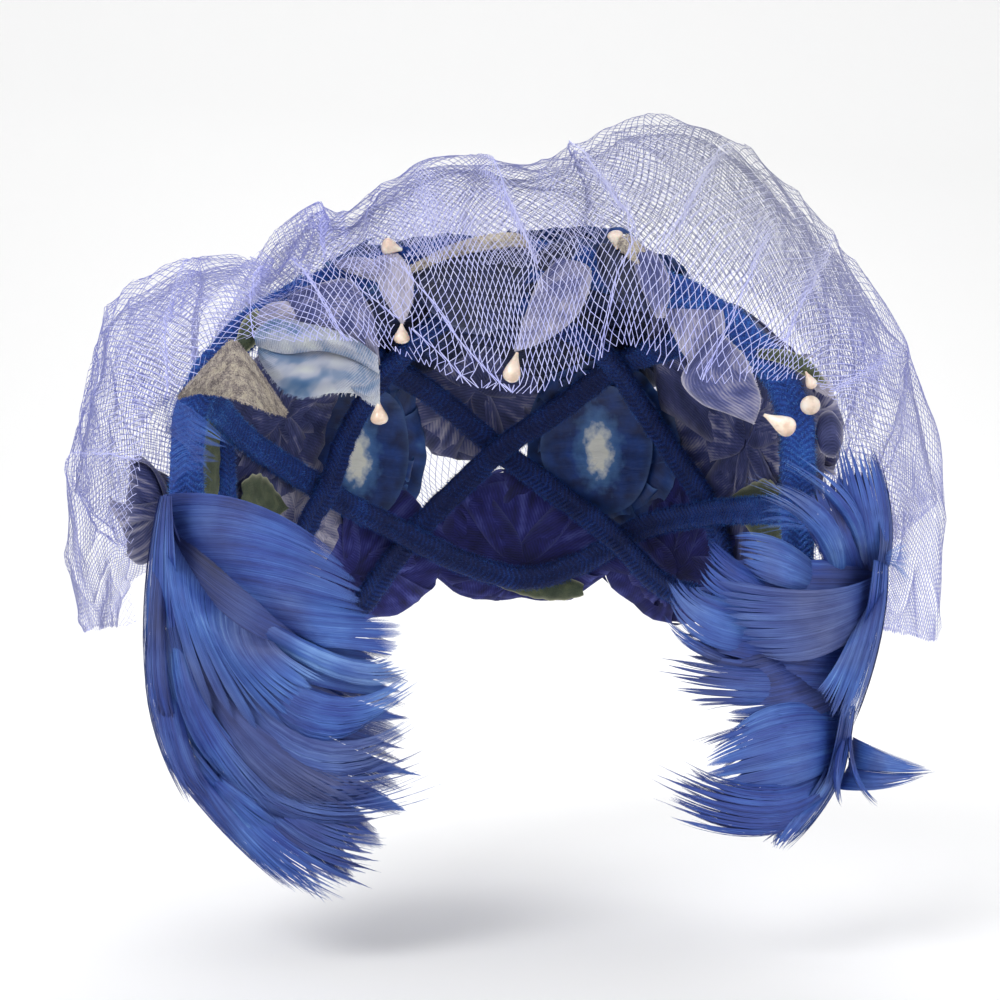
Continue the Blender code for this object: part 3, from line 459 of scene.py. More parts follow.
RIGHT_FANS = (
    Fan(
        ((878, 560), (864, 640), (848, 715)), ((800, 560), (790, 640), (780, 706)),
        ((740, 565), (706, 605), (706, 650), (735, 700)), 0, 0.5, 0.2, 0.26, 0, (1, 1),
    ),
    Fan(
        ((848, 716), (840, 780)), ((790, 720), (790, 805)), ((738, 752), (732, 790), (768, 828)),
        0, 0.5, 0.1, 0.3, 0, (1, 1),
    ),
    Fan(
        ((880, 560), (850, 590)), ((870, 510), (836, 520)), ((868, 466), (832, 482)),
        0, 0.5, 0.1, 0.3, 0, (1, 1),
    ),
    Fan(
        ((885, 566), (889, 566), (878, 560)), ((887, 515), (891, 514), (878, 510)),
        ((872, 454), (875, 450), (862, 448)), 0.0, 0.5, 0.1, 0.42, 0, (1, 0),
    ),
    Fan(
        ((884, 562), (888, 562), (874, 560)), ((876, 640), (880, 640), (860, 645)),
        ((852, 718), (854, 722), (838, 722)), 1.0, 0.4, 0.2, 0.46, 0, (1, 0),
    ),
    Fan(
        ((852, 706), (855, 706), (842, 704)), ((845, 752), (848, 752), (832, 756)),
        ((837, 784), (840, 788), (822, 790)), 1.0, 0.5, 0.1, 0.42, 0, (1, 0),
    ),
    Fan(
        ((841, 770), (844, 772), (826, 768)), ((815, 813), (818, 816), (800, 808)),
        ((781, 847), (785, 849), (764, 840)), 1.0, 0.6, 0.0, 0.5, 0, (1, 0),
    ),
    Fan(
        ((878, 560), (864, 640), (848, 715)), ((800, 560), (790, 640), (780, 706)),
        ((722, 560), (690, 600), (690, 650), (720, 708)), -1.0, 0.5, 0.2, 0.24,
    ),
    Fan(
        ((848, 716), (840, 780)), ((790, 712), (790, 815)), ((728, 752), (720, 790), (760, 832)),
        -0.5, 0.4, 0.1, 0.28,
    ),
    Fan(((884, 566), (850, 590)), ((874, 510), (830, 520)), ((868, 462), (826, 478)), -0.6, 0.5, 0.1, 0.26),
    Fan(
        ((864, 573), (885, 571)), ((846, 513), (888, 513)), ((834, 452), (846, 437), (874, 452)),
        0.0, 0.7, 0.2, 0.42,
    ),
    Fan(((836, 588), (864, 573)), ((812, 538), (850, 530)), ((790, 500), (836, 486)), 0.6, 0.3, 0.1, 0.30),
    Fan(
        ((862, 574), (867, 573)), ((840, 513), (858, 508)), ((786, 468), (790, 461), (812, 462)),
        2.6, 0.75, 0.1, 0.66,
    ),
    Fan(
        ((834, 589), (842, 588)), ((810, 530), (836, 522)), ((750, 494), (748, 479), (778, 481)),
        3.2, 0.8, 0.15, 0.70,
    ),
    Fan(
        ((830, 586), (838, 587)), ((796, 514), (812, 533)), ((757, 512), (737, 524), (733, 542)),
        2.4, 0.95, 0.1, 0.6,
    ),
    Fan(
        ((832, 585), (838, 596)), ((790, 544), (786, 588)), ((737, 531), (742, 552), (752, 576)),
        2.0, 0.3, 0.1, 0.55,
    ),
    Fan(
        ((808, 592), (808, 614)), ((748, 568), (736, 604)), ((709, 532), (704, 556), (698, 580)),
        1.4, 0.65, 0.05, 0.48,
    ),
    Fan(
        ((824, 610), (812, 650)), ((730, 600), (716, 648)), ((699, 586), (669, 582), (671, 606)),
        1.0, 0.5, 0.0, 0.46,
    ),
    Fan(((760, 664), (764, 676)), ((704, 643), (704, 657)), ((661, 613), (672, 632)), 0.6, 0.5, 0.3, 0.40),
    Fan(
        ((830, 660), (842, 704)), ((752, 668), (752, 704)), ((668, 655), (664, 674), (701, 709)),
        1.6, 0.65, 0.35, 0.40,
    ),
    Fan(((800, 640), (850, 700)), ((770, 650), (800, 720)), ((735, 660), (732, 726)), 0.2, 0.3, 0.3, 0.15),
    Fan(
        ((886, 568), (864, 602)), ((877, 639), (840, 656)), ((851, 719), (834, 710), (818, 688)),
        4.2, 0.25, 0.25, 0.55, 1,
    ),
    Fan(
        ((882, 571), (878, 618)), ((819, 590), (822, 656)),
        ((726, 578), (732, 611), (752, 643), (768, 658)), 4.8, 0.2, 0.75, 0.5,
    ),
    Fan(
        ((849, 712), (848, 758)), ((778, 704), (796, 784)),
        ((722, 740), (710, 756), (712, 778), (724, 796)), 3.2, 0.3, 0.0, 0.55, 1,
    ),
    Fan(
        ((846, 750), (834, 784)), ((774, 784), (776, 834)),
        ((690, 764), (670, 764), (660, 780), (659, 798), (676, 822)), 3.8, 0.7, 0.1, 0.36,
    ),
    Fan(
        ((846, 750), (834, 784)), ((774, 792), (776, 831)),
        ((704, 772), (684, 780), (678, 796), (690, 818)), 2.6, 0.35, 0.0, 0.22,
    ),
    Fan(((824, 785), (838, 781)), ((784, 820), (808, 818)), ((773, 845), (781, 849)), 2.2, 0.4, 0.0, 0.6),
    Fan(((853, 737), (848, 766)), ((884, 751), (888, 773)), ((922, 765), (933, 772)), 0.6, 0.3, 0.1, 0.70),
    Fan(((848, 766), (836, 789)), ((888, 772), (881, 789)), ((933, 772), (922, 776)), 0.3, 0.3, 0.0, 0.42),
    Fan(((848, 717), (850, 719)), ((834, 771), (840, 771)), ((840, 806), (843, 803)), 4.2, 0.6, 0.2, 0.3),
    Fan(((850, 722), (852, 724)), ((851, 771), (857, 771)), ((874, 806), (878, 802)), 4.2, 0.6, 0.2, 0.3),
    Fan(
        ((880, 556), (883, 566)), ((893, 548), (896, 568)), ((906, 538), (917, 558), (908, 587)),
        0.5, 1.0, 0.1, 0.8,
    ),
    Fan(((792, 708), (796, 722)), ((745, 724), (748, 734)), ((693, 740), (712, 748)), 2.6, 0.6, 0.2, 0.3),
)
# The depth of a fan at these shares of its length, and of one that wraps the side of a pad.
FAN_SHARES = (0.0, 0.25, 0.5, 1.0)
FAN_DEPTHS = (-26.0, -34.0, -37.5, -37.0)
WRAP_DEPTHS = (-37.0, -38.0, -38.0, -37.0)
FAN_REAR = -25.0
FAN_FORWARD = 0.95
FAN_BELLY = 1.6
# From this split on, a fan is made of single hairs, so many times further apart and this wide.
HAIR_SPLIT = 0.88
HAIR_PITCH = 4.6
HAIR_WIDE = 0.065
STRAND_PITCH = 0.10
STRAND_STEPS = 10
# Half widths: of a strand at the least and the most, and of a quill at its start and its end.
STRAND_HALF = (0.06, 0.45)
QUILL_HALF = (0.42, 0.10)
QUILL_FORWARD = 0.35
# How far loose locks stand off and drift aside, and single strands stand off, and how strands
# and locks vary in tone.
LOCK_OFF = 0.5
LOCK_ASIDE = 1.0
STRAND_OFF = 0.05
STRAND_TONES = 0.075
LOCK_TONES = 0.05

# The net veil, station by station from the low left, over the top, to the low right.
VEIL = (
    Station(-95, -22, -98, -117, 14, -102),
    Station(-95, -23, -80, -122, 14, -78),
    Station(-94, -23, -62, -121, 14, -56),
    Station(-91, -24, -48, -116, 12, -34),
    Station(-87, -34, -41, -109, 10, -12),
    Station(-78, -43, -37, -92, 10, 0),
    Station(-66, -45, -26, -73, 8, 3),
    Station(-48, -45, -25, -62, 4, -2),
    Station(-36, -45, -25, -51, 2, 17),
    Station(-27, -45, -27, -41, 8, 16),
    Station(-16, -45, -32, -28, 10, 27),
    Station(-3, -45, -37, -15, 10, 32),
    Station(11, -45, -38, 8, 10, 30),
    Station(22, -45, -35, 22, 12, 35),
    Station(33, -45, -26, 39, 12, 43),
    Station(45, -45, -32, 60, 12, 42),
    Station(57, -45, -36, 78, 12, 30),
    Station(70, -45, -35, 95, 12, 11),
    Station(80, -44, -36, 111, 12, -10),
    Station(90, -34, -45, 124, 12, -38),
    Station(95, -18, -68, 128, 12, -66),
    Station(96, -6, -98, 127, 14, -105),
)
# Folds where the net is drawn together like a rope: their place round the veil at its edge, how
# far it moves round on the way across, where it starts and ends across, and its reach in mm.
ROPES = (
    Rope(0.550, -0.48, 0.0, 0.20, 6.0),
    Rope(0.524, -0.80, 0.0, 0.16, 5.0),
    Rope(0.640, 0.15, 0.0, 0.22, 5.0),
    Rope(0.745, 0.10, 0.0, 0.30, 6.0),
    Rope(0.380, -0.10, 0.02, 0.35, 6.0),
    Rope(0.300, 0.05, 0.02, 0.60, 7.0),
    Rope(0.220, 0.10, 0.02, 0.70, 7.0),
    Rope(0.120, -0.05, 0.02, 0.80, 7.0),
    Rope(0.700, -0.20, 0.15, 0.75, 7.0),
    Rope(0.660, 0.22, 0.15, 0.80, 7.0),
    Rope(0.600, -0.12, 0.18, 0.80, 7.0),
    Rope(0.800, 0.05, 0.10, 0.80, 8.0),
    Rope(0.880, 0.00, 0.05, 0.90, 8.0),
)
# The hem behind the head, and how far the net bulges out between its front edge and its crest.
HEM_SIDE = 110.0
HEM_FRONT_Y = 26.0
HEM_DEPTH = 98.0
HEM_LOW_Z = -102.0
HEM_BACK_Z = -72.0
HEM_WAVE = 3.5
HEM_FLARE = 0.035
HEM_WAVES = 11.0
BROW = (0.0, -18.0, 2.0)
VEIL_CENTRE = np.array((0.0, 30.0, -50.0))
# The layers of the net: first and last say where each starts and ends round the veil, near and
# deep across it. Mesh is how wide its mesh is, inward how far it lies inside the veil, and ragged
# how many of its edge threads are lost.
LAYERS = (
    Layer("veil_net", 0.0, 1.0, 0.0, 1.0, 1.0, 0.0, 0.35),
    Layer("veil_net_under", 0.08, 0.95, 0.19, 0.80, 1.04, 2.6, 0.1),
    Layer("veil_net_inner", 0.20, 0.86, 0.22, 0.66, 0.93, 4.6, 0.1),
)
# The share of the net's area that its threads cover.
MESH_ACROSS = 1.05
MESH_ALONG = 1.55
THREAD = 0.22
THREAD_TURN = math.radians(28)
LOST_THREADS = 0.004
PLEATS = 23
# Swells, ripples, sideways drift and gathers of the net: how wide they are and how far they go.
SWELL_SIZE = 34.0
SWELL_HIGH = 0.9
RIPPLE_SIZE = 12.0
RIPPLE_HIGH = 0.15
DRIFT_SIZE = 24.0
DRIFT_FAR = 0.4
GATHER_SIZE = 16.0
GATHER_FAR = 0.5
# How far the net stays from the middle of a pearl, as a share of the pearl's girth.
PEARL_ROOM = 0.55
# Rough lengths of the veil round and across, for the size of its pleats.
VEIL_ROUND = 420.0
VEIL_ACROSS = 240.0

# The dyed cloths: three colours from deep to pale, and that of the rim, which is partly wear at the edge and
# partly painted highlight. Streak is how fine the lines along a petal are, weave how strong those across it
# are, and spotted cloth has a pale middle.
CLOTHS = (
    Cloth(
        "purple_velvet", (0.005, 0.006, 0.06), (0.019, 0.021, 0.19), (0.10, 0.12, 0.44), (0.12, 0.14, 0.40),
        0.65, 0.06, 2.2, 0.13, False,
    ),
    Cloth(
        "blue_satin", (0.004, 0.015, 0.08), (0.014, 0.058, 0.26), (0.10, 0.24, 0.52), (0.10, 0.20, 0.44),
        0.34, 0.0, 0.3, 0.0, True,
    ),
    Cloth(
        "navy_satin", (0.002, 0.004, 0.018), (0.007, 0.016, 0.075), (0.05, 0.09, 0.26), (0.10, 0.12, 0.24),
        0.42, 0.02, 1.4, 0.13, False,
    ),
    Cloth(
        "grey_organdy", (0.014, 0.020, 0.085), (0.060, 0.072, 0.22), (0.50, 0.47, 0.56), (0.46, 0.44, 0.50),
        0.48, 0.02, 1.8, 0.13, False,
    ),
)

# The floor, its bend and the wall behind it, in metres, and the light round it all.
FLOOR_Z = -0.185
FLOOR_FRONT = -1.6
FLOOR_BACK = 1.1
FLOOR_SIDE = 4.0
FLOOR_BEND = 0.6
WALL_TOP = 3.0
WORLD_LIGHT = 0.8
LAMPS = (
    Lamp("key", (-0.7, -0.9, 0.9), (0.0, 0.0, -0.07), 0.7, 9.0),
    Lamp("fill", (0.7, -1.1, 0.1), (0.0, 0.0, -0.07), 0.9, 4.5),
    Lamp("back", (0.1, 1.0, 1.0), (0.0, 0.1, -0.05), 0.9, 6.0),
)


def unit(vectors):
    """Vectors of length one in the same directions."""
    size = np.linalg.norm(vectors, axis=-1, keepdims=True)
    return vectors / np.maximum(size, 1e-9)


def joined(*parts):
    """Arrays that fit each other, side by side along a new last axis."""
    return np.stack(np.broadcast_arrays(*parts), -1)


def both(values):
    """The same values at the foot and at the end of each hair."""
    return np.repeat(values[:, None], 2, 1)


def run_along(points):
    """How far along a row of points each of them lies."""
    steps = np.linalg.norm(np.diff(points, axis=0), axis=1)
    return np.concatenate([[0.0], np.cumsum(steps)])


def seen(x, y, depth):
    """The place of a picture pixel at a depth along +Y, in millimetres."""
    span = SIGHT * (depth - EYE[1])
    across = EYE[0] + (np.asarray(x, float) - FRAME / 2) * span
    height = EYE[2] - (np.asarray(y, float) - FRAME / 2) * span
    return joined(across, depth, height)


def spline(rows, shares):
    """Points of the smooth curve through rows of numbers, at shares from 0 to 1."""
    rows = np.asarray(rows, float)
    place = np.clip(np.asarray(shares, float), 0.0, 1.0) * (len(rows) - 1)
    first = np.minimum(place.astype(int), len(rows) - 2)
    t = (place - first)[..., None]
    a, b = rows[np.maximum(first - 1, 0)], rows[first]
    c, d = rows[first + 1], rows[np.minimum(first + 2, len(rows) - 1)]
    return 0.5 * (
        2 * b + (c - a) * t + (2 * a - 5 * b + 4 * c - d) * t**2 + (3 * b - a - 3 * c + d) * t**3
    )


def evenly(rows, step, fine=2000):
    """The curve through rows at even steps of its first three numbers, and the length at each."""
    many = spline(rows, np.linspace(0, 1, fine))
    run = run_along(many[:, :3])
    wanted = np.linspace(0, run[-1], max(int(run[-1] / step), 2))
    return np.stack([np.interp(wanted, run, column) for column in many.T], -1), wanted


def dome_normal(points):
    """The ways straight out of the head form at points on it."""
    over = np.maximum(points[..., 2] - SPRING_Z, 0.0)
    back = points[..., 1] - ARCH_Y
    return unit(joined(points[..., 0] / HALF_WIDTH**2, back / DEPTH**2, over / CROWN_RISE**2))


def dome_point(turn, rise):
    """The point of the head form at these angles."""
    turn, rise = math.radians(turn), math.radians(rise)
    level = math.cos(max(rise, 0.0))
    height = CROWN_RISE * (math.sin(rise) if rise > 0 else rise)
    across, back = -HALF_WIDTH * level * math.cos(turn), DEPTH * level * math.sin(turn)
    return np.array((across, ARCH_Y + back, SPRING_Z + height))


def onto_dome(points, lift):
    """Points carried onto the head form, away from its middle, then lifted along its normal."""
    across, back = points[..., 0] / HALF_WIDTH, (points[..., 1] - ARCH_Y) / DEPTH
    over = np.maximum(points[..., 2] - SPRING_Z, 0.0) / CROWN_RISE
    share = 1.0 / np.maximum(np.sqrt(across**2 + back**2 + over**2), 1e-6)
    height = over * CROWN_RISE * share + np.minimum(points[..., 2] - SPRING_Z, 0.0)
    base = joined(points[..., 0] * share, ARCH_Y + (points[..., 1] - ARCH_Y) * share, SPRING_Z + height)
    return base + np.asarray(lift)[..., None] * dome_normal(base)


def waves(places, rng, count=6, size=8.0):
    """A smooth field of about -1 to 1 over places of two numbers, with swells of about this size."""
    total = np.zeros(places.shape[:-1])
    for _ in range(count):
        way = rng.normal(size=2) * 2 * math.pi / size / 1.4
        total += np.sin(places @ way + rng.uniform(0, 2 * math.pi))
    return total / math.sqrt(count)


def linked(name, data):
    """A new object in the scene."""
    made = bpy.data.objects.new(name, data)
    bpy.context.scene.collection.objects.link(made)
    return made


class Mesh:
    """Gathers sheets, ribbons and tubes into one piece of quads."""

    def __init__(self):
        self.points, self.faces, self.flats, self.marks = [], [], [], []
        self.count = 0

    def sheet(self, grid, flat, mark, wrap=False):
        """A grid of points with its flat place in millimetres and three values for its material."""
        rows, columns = grid.shape[:2]
        last = columns if wrap else columns - 1
        i, j = np.meshgrid(np.arange(rows - 1), np.arange(last), indexing="ij")
        a, b = i * columns + j, i * columns + (j + 1) % columns
        faces = joined(a, b, b + columns, a + columns).reshape(-1, 4)
        self.add(grid.reshape(-1, 3), faces, flat.reshape(-1, 2), mark.reshape(-1, 3))

    def strips(self, lines, across, flat, mark):
        """Many ribbons at once: lines of points, each with a half width across it."""
        count, steps = lines.shape[:2]
        sides = np.stack([lines - across, lines + across], 2)
        start = (np.arange(count) * steps * 2)[:, None]
        step = start + np.arange(steps - 1)[None] * 2
        faces = joined(step, step + 1, step + 3, step + 2).reshape(-1, 4)
        flat, mark = (np.repeat(values[:, :, None], 2, 2) for values in (flat, mark))
        self.add(sides.reshape(-1, 3), faces, flat.reshape(-1, 2), mark.reshape(-1, 3))

    def hairs(self, foot, top, wide, taper, flat, mark):
        """Straight ribbons from foot to top, whose half width shrinks to a share of itself."""
        self.strips(np.stack([foot, top], 1), np.stack([wide, wide * taper], 1), both(flat), mark)

    def add(self, points, faces, flat, mark):
        """Takes in points, and faces that count from the first of them."""
        self.points.append(points)
        self.faces.append(faces + self.count)
        self.flats.append(flat)
        self.marks.append(mark)
        self.count += len(points)

    def area(self):
        """The surface of the whole piece in square millimetres."""
        points, faces = np.concatenate(self.points), np.concatenate(self.faces)
        a, b, c, d = (points[faces[:, k]] for k in range(4))
        return float(np.linalg.norm(np.cross(c - a, d - b), axis=1).sum() / 2)

    def finish(self, name, slot, nodes, smooth=True, finish=None):
        """Makes the piece, which stands for these nodes of the solid model."""
        points = np.concatenate(self.points) * MM
        faces = np.concatenate(self.faces).astype(np.int32)
        mesh = bpy.data.meshes.new(name)
        mesh.vertices.add(len(points))
        mesh.vertices.foreach_set("co", points.astype(np.float32).ravel())
        mesh.loops.add(faces.size)
        mesh.loops.foreach_set("vertex_index", faces.ravel())
        mesh.polygons.add(len(faces))
        mesh.polygons.foreach_set("loop_start", np.arange(len(faces), dtype=np.int32) * 4)
        mesh.update(calc_edges=True)
        layer = mesh.uv_layers.new(name="flat")
        flats = np.concatenate(self.flats)[faces.ravel()]
        layer.uv.foreach_set("vector", flats.astype(np.float32).ravel())
        values = np.ones((len(points), 4), np.float32)
        values[:, :3] = np.concatenate(self.marks)
        attribute = mesh.attributes.new("mark", "FLOAT_COLOR", "POINT")
        attribute.data.foreach_set("color", values.ravel())
        if smooth:
            mesh.shade_smooth()
        mesh.materials.append(finishes[finish or slot])
        piece = linked(name, mesh)
        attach(piece, "root")
        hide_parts(*nodes)
        return piece


def cut_sheet(mesh, pieces):
    """Works out the flat cloth a piece is cut from, its parts side by side, lengths and widths in mm, and
    keeps nothing.
    """
    long = max(max(part[0] for part in pieces), LEAST_FLAT)
    wide = max(sum(part[1] for part in pieces), LEAST_FLAT)
    area = np.clip(mesh.area() / (long * wide), *FLAT_SHARES) * long * wide


def marks(shape, first, second=0.0, third=0.0):
    """Three values for each point of a grid, which its material reads."""
    return joined(np.zeros(shape) + first, second, third)


class Paint:
    """A material made of nodes."""

    def __init__(self, name, **sockets):
        self.material = bpy.data.materials.new(name)
        self.material.use_nodes = True
        self.tree = self.material.node_tree
        self.shader = self.tree.nodes["Principled BSDF"]
        for socket, value in sockets.items():
            self.shader.inputs[socket.replace("_", " ")].default_value = value
        self.flat = self.add("UVMap", uv_map="flat").outputs[0]
        mark = self.add("Attribute", attribute_name="mark", attribute_type="GEOMETRY")
        parts = self.add("SeparateColor", {0: mark.outputs["Color"]})
        self.first, self.second, self.third = parts.outputs[:3]
        self.object = self.add("TexCoord").outputs["Object"]

    def add(self, kind, inputs=None, **settings):
        """A node with its settings, and with values or sockets at its inputs."""
        node = self.tree.nodes.new("ShaderNode" + kind)
        for key, value in settings.items():
            setattr(node, key, value)
        for key, value in (inputs or {}).items():
            if isinstance(value, bpy.types.NodeSocket):
                self.tree.links.new(value, node.inputs[key])
            else:
                node.inputs[key].default_value = value
        return node

    def math(self, operation, a, b):
        """One step of arithmetic on values or sockets."""
        return self.add("Math", {0: a, 1: b}, operation=operation).outputs[0]

    def total(self, start, *parts):
        """A value or socket plus sockets, each times its share."""
        for value, share in parts:
            start = self.math("ADD", start, self.math("MULTIPLY", value, share))
        return start

    def mix(self, share, a, b):
        """A colour that goes from a to b with a share."""
        inputs = {"Factor": share, 6: a, 7: b}
        return self.add("Mix", inputs, data_type="RGBA", clamp_factor=True).outputs[2]

    def ramp(self, share, *stops):
        """A colour read from stops, each a place and its colour."""
        node = self.add("ValToRGB", {0: share})
        elements = node.color_ramp.elements
        elements[0].position, elements[0].color = stops[0][0], (*stops[0][1], 1)
        elements[1].position, elements[1].color = stops[-1][0], (*stops[-1][1], 1)
        for position, colour in stops[1:-1]:
            elements.new(position).color = (*colour, 1)
        return node.outputs[0]

    def between(self, axis, low, high, most=1.0):
        """A value that rises from 0 to the most between two places in metres along an axis."""
        place = self.add("SeparateXYZ", {0: self.object}).outputs[axis]
        return self.add("MapRange", {0: place, 1: low, 2: high, 3: 0.0, 4: most}).outputs[0]

    def noise(self, vector, scale, detail=3.0, stretch=(1, 1, 1)):
        """Cloudy values of about 0 to 1."""
        placed = self.add("Mapping", {"Vector": vector, "Scale": stretch}).outputs[0]
        inputs = {"Vector": placed, "Scale": scale, "Detail": detail}
        return self.add("TexNoise", inputs).outputs["Fac"]

    def lines(self, along, across, pitch, slope):
        """A wave of 0 to 1 over flat millimetres, that rises along the first axis."""
        steps = self.total(along, (across, slope))
        wave = self.math("SINE", self.math("MULTIPLY", steps, 2 * math.pi / pitch), 0.0)
        return self.total(0.5, (wave, 0.5))

    def split(self):
        """The two flat places of a point."""
        return self.add("SeparateXYZ", {0: self.flat}).outputs[:2]

    def bump(self, height, depth):
        """Relief of this depth in metres."""
        node = self.add("Bump", {"Height": height, "Distance": depth, "Strength": 1.0})
        self.tree.links.new(node.outputs[0], self.shader.inputs["Normal"])

    def finish(self, colour, roughness):
        """The material, with its colour and roughness."""
        self.tree.links.new(colour, self.shader.inputs["Base Color"])
        self.tree.links.new(roughness, self.shader.inputs["Roughness"])
        return self.material


def velvet_finish():
    """Blue velvet rolls with slanting ribs of pile, painted highlight on rib tops and pile tips, and painted
    shade deeper in the hat.
    """
    lit = (0.040, 0.18, 0.62)
    paint = Paint("blue_velvet", Sheen_Weight=0.12, Sheen_Roughness=0.45, Sheen_Tint=(*lit, 1))
    ribs = paint.lines(*paint.split(), VELVET_RIB, 0.6)
    patches = paint.noise(paint.object, 90.0)
    pile = paint.noise(paint.object, 2600.0, 2.0)
    # Ribs and pile tips (the second mark) lighten the colour: painted highlight on rib tops and tips, painted
    # shade in the grooves.
    tone = paint.total(
        -0.09, (ribs, 0.16), (patches, 0.55), (pile, 0.54), (paint.first, 0.14), (paint.second, 0.42)
    )
    # Painted shade: darker the further back in the hat a band lies.
    tone = paint.math("SUBTRACT", tone, paint.between(1, 0.0, 0.08, 0.28))
    deep, middle, bright = (0.002, 0.010, 0.08), (0.008, 0.052, 0.32), (0.15, 0.40, 0.82)
    colour = paint.ramp(tone, (0.26, deep), (0.54, middle), (0.84, lit), (1.0, bright))
    paint.bump(paint.total(pile, (ribs, 0.4)), 0.0007)
    return paint.finish(colour, paint.total(0.62, (pile, 0.2)))


def petal_finish(cloth):
    """Dyed cloth with fine lines along the petal, painted shading, a rim partly of wear and partly painted
    highlight, and perhaps a pale middle.
    """
    paint = Paint(cloth.name, Sheen_Weight=cloth.sheen, Sheen_Roughness=0.4, Sheen_Tint=(*cloth.pale, 1))
    along, across = paint.split()
    clouds = paint.noise(paint.flat, 0.16, 4.0)
    streaks = paint.noise(paint.flat, 1.0, 3.0, (0.08, cloth.streak, 1))
    weave = paint.lines(across, along, 0.9, 0.35)
    # The first mark brings in the tone of each petal and fold, with its painted shading.
    tone = paint.total(-0.36, (clouds, 0.75), (streaks, 0.34), (paint.first, 0.62), (weave, cloth.weave))
    colour = paint.ramp(tone, (0.12, cloth.deep), (0.42, cloth.middle), (0.85, cloth.pale))
    # A paler rim towards the edges: partly wear, partly painted highlight.
    rim_wear_and_highlight = paint.math("MULTIPLY", paint.math("POWER", paint.third, 14.0), paint.total(0.35, (clouds, 1.0)))
    colour = paint.mix(rim_wear_and_highlight, colour, (*cloth.edge, 1))
    if cloth.spotted:
        near = paint.total(paint.second, (paint.noise(paint.flat, 0.28), 0.6))
        halo = paint.ramp(near, (0.50, (1, 1, 1)), (0.85, (0.35, 0.35, 0.35)), (1.35, (0, 0, 0)))
        colour = paint.mix(halo, colour, (0.10, 0.25, 0.52, 1))
        spot = paint.ramp(near, (0.50, (1, 1, 1)), (0.70, (0, 0, 0)))
        colour = paint.mix(spot, colour, (0.84, 0.84, 0.74, 1))
    paint.bump(paint.total(0.0, (streaks, 2.0), (weave, cloth.weave)), 0.0003)
    return paint.finish(colour, paint.total(cloth.roughness, (streaks, 0.25)))


def dyed_finish():
    """Satin with patches of white, pale blue and teal dye."""
    paint = Paint("dyed_satin", Sheen_Weight=0.1, Sheen_Roughness=0.4)
    patches = paint.noise(paint.flat, 0.075, 1.0, (1, 1.8, 1))
    drift = paint.noise(paint.flat, 0.4, 4.0)
    weave = paint.lines(*paint.split(), 0.7, 0.5)
    tone = paint.total(0.0, (patches, 0.7), (drift, 0.2), (weave, 0.05), (paint.first, 0.14))
    teal, dusk, cloud, white = (0.03, 0.11, 0.26), (0.16, 0.24, 0.38), (0.36, 0.39, 0.50), (0.56, 0.59, 0.60)
    colour = paint.ramp(tone, (0.38, teal), (0.46, dusk), (0.52, cloud), (0.66, white))
    paint.bump(paint.total(drift, (weave, 1.0)), 0.0002)
    return paint.finish(colour, paint.total(0.3, (drift, 0.2)))


def suede_finish():
    """Brushed tan suede, mottled from brown to cream."""
    paint = Paint("suede", Sheen_Weight=0.25, Sheen_Roughness=0.6, Sheen_Tint=(0.6, 0.56, 0.52, 1))
    nap = paint.noise(paint.flat, 2.2, 5.0)
    spots = paint.noise(paint.flat, 0.5, 4.0)
    tone = paint.total(0.0, (nap, 0.55), (spots, 0.45), (paint.first, 0.16))
    dark, brown, tan, cream = (0.06, 0.048, 0.05), (0.27, 0.23, 0.22), (0.50, 0.44, 0.36), (0.68, 0.62, 0.48)
    colour = paint.ramp(tone, (0.42, dark), (0.53, brown), (0.62, tan), (0.74, cream))
    paint.bump(nap, 0.0008)
    return paint.finish(colour, paint.total(0.75, (nap, 0.2)))


def olive_finish():
    """Olive velvet with a pale cut edge."""
    paint = Paint("olive", Sheen_Weight=0.4, Sheen_Roughness=0.5, Sheen_Tint=(0.4, 0.42, 0.25, 1))
    pile = paint.noise(paint.flat, 3.0, 4.0)
    clouds = paint.noise(paint.flat, 0.25)
    tone = paint.total(0.0, (pile, 0.4), (clouds, 0.6))
    colour = paint.ramp(
        tone, (0.3, (0.018, 0.028, 0.020)), (0.5, (0.06, 0.085, 0.05)), (0.7, (0.16, 0.18, 0.09))
    )
    colour = paint.mix(paint.math("POWER", paint.third, 9.0), colour, (0.50, 0.50, 0.34, 1))
    paint.bump(pile, 0.0005)
    return paint.finish(colour, paint.total(0.7, (pile, 0.2)))


def pearl_finish():
    """Pink and cream pearl lacquer."""
    paint = Paint(
        "pearl", Subsurface_Weight=0.25, Subsurface_Scale=0.002, Coat_Weight=0.7, Coat_Roughness=0.12
    )
    bands = paint.noise(paint.object, 260.0)
    colour = paint.ramp(
        bands, (0.35, (0.66, 0.50, 0.38)), (0.5, (0.84, 0.68, 0.54)), (0.68, (0.95, 0.86, 0.76))
    )
    paint.bump(paint.noise(paint.object, 1500.0), 0.00005)
    return paint.finish(colour, paint.total(0.18, (bands, 0.2)))


def feather_finish():
    """Barbs of changing blue, with a slate cast on some feathers and paler ends."""
    paint = Paint("feather", Sheen_Weight=0.05, Sheen_Roughness=0.35, Sheen_Tint=(0.35, 0.5, 1.0, 1))
    clouds = paint.noise(paint.object, 60.0)
    fine = paint.noise(paint.flat, 1.3, 3.0, (1, 0.05, 1))
    tone = paint.total(-0.22, (paint.first, 0.56), (clouds, 0.75), (fine, 0.36))
    ink, royal = (0.006, 0.008, 0.08), (0.018, 0.050, 0.28)
    bright, sky = (0.050, 0.13, 0.44), (0.16, 0.31, 0.64)
    blue = paint.ramp(tone, (0.20, ink), (0.50, royal), (0.76, bright), (1.0, sky))
    dark, grey, light = (0.010, 0.014, 0.055), (0.05, 0.065, 0.19), (0.14, 0.17, 0.36)
    slate = paint.ramp(tone, (0.20, dark), (0.60, grey), (1.0, light))
    share = paint.math("MULTIPLY", paint.third, paint.total(0.55, (clouds, 1.0)))
    return paint.finish(paint.mix(share, blue, slate), paint.total(0.48, (fine, 0.2)))


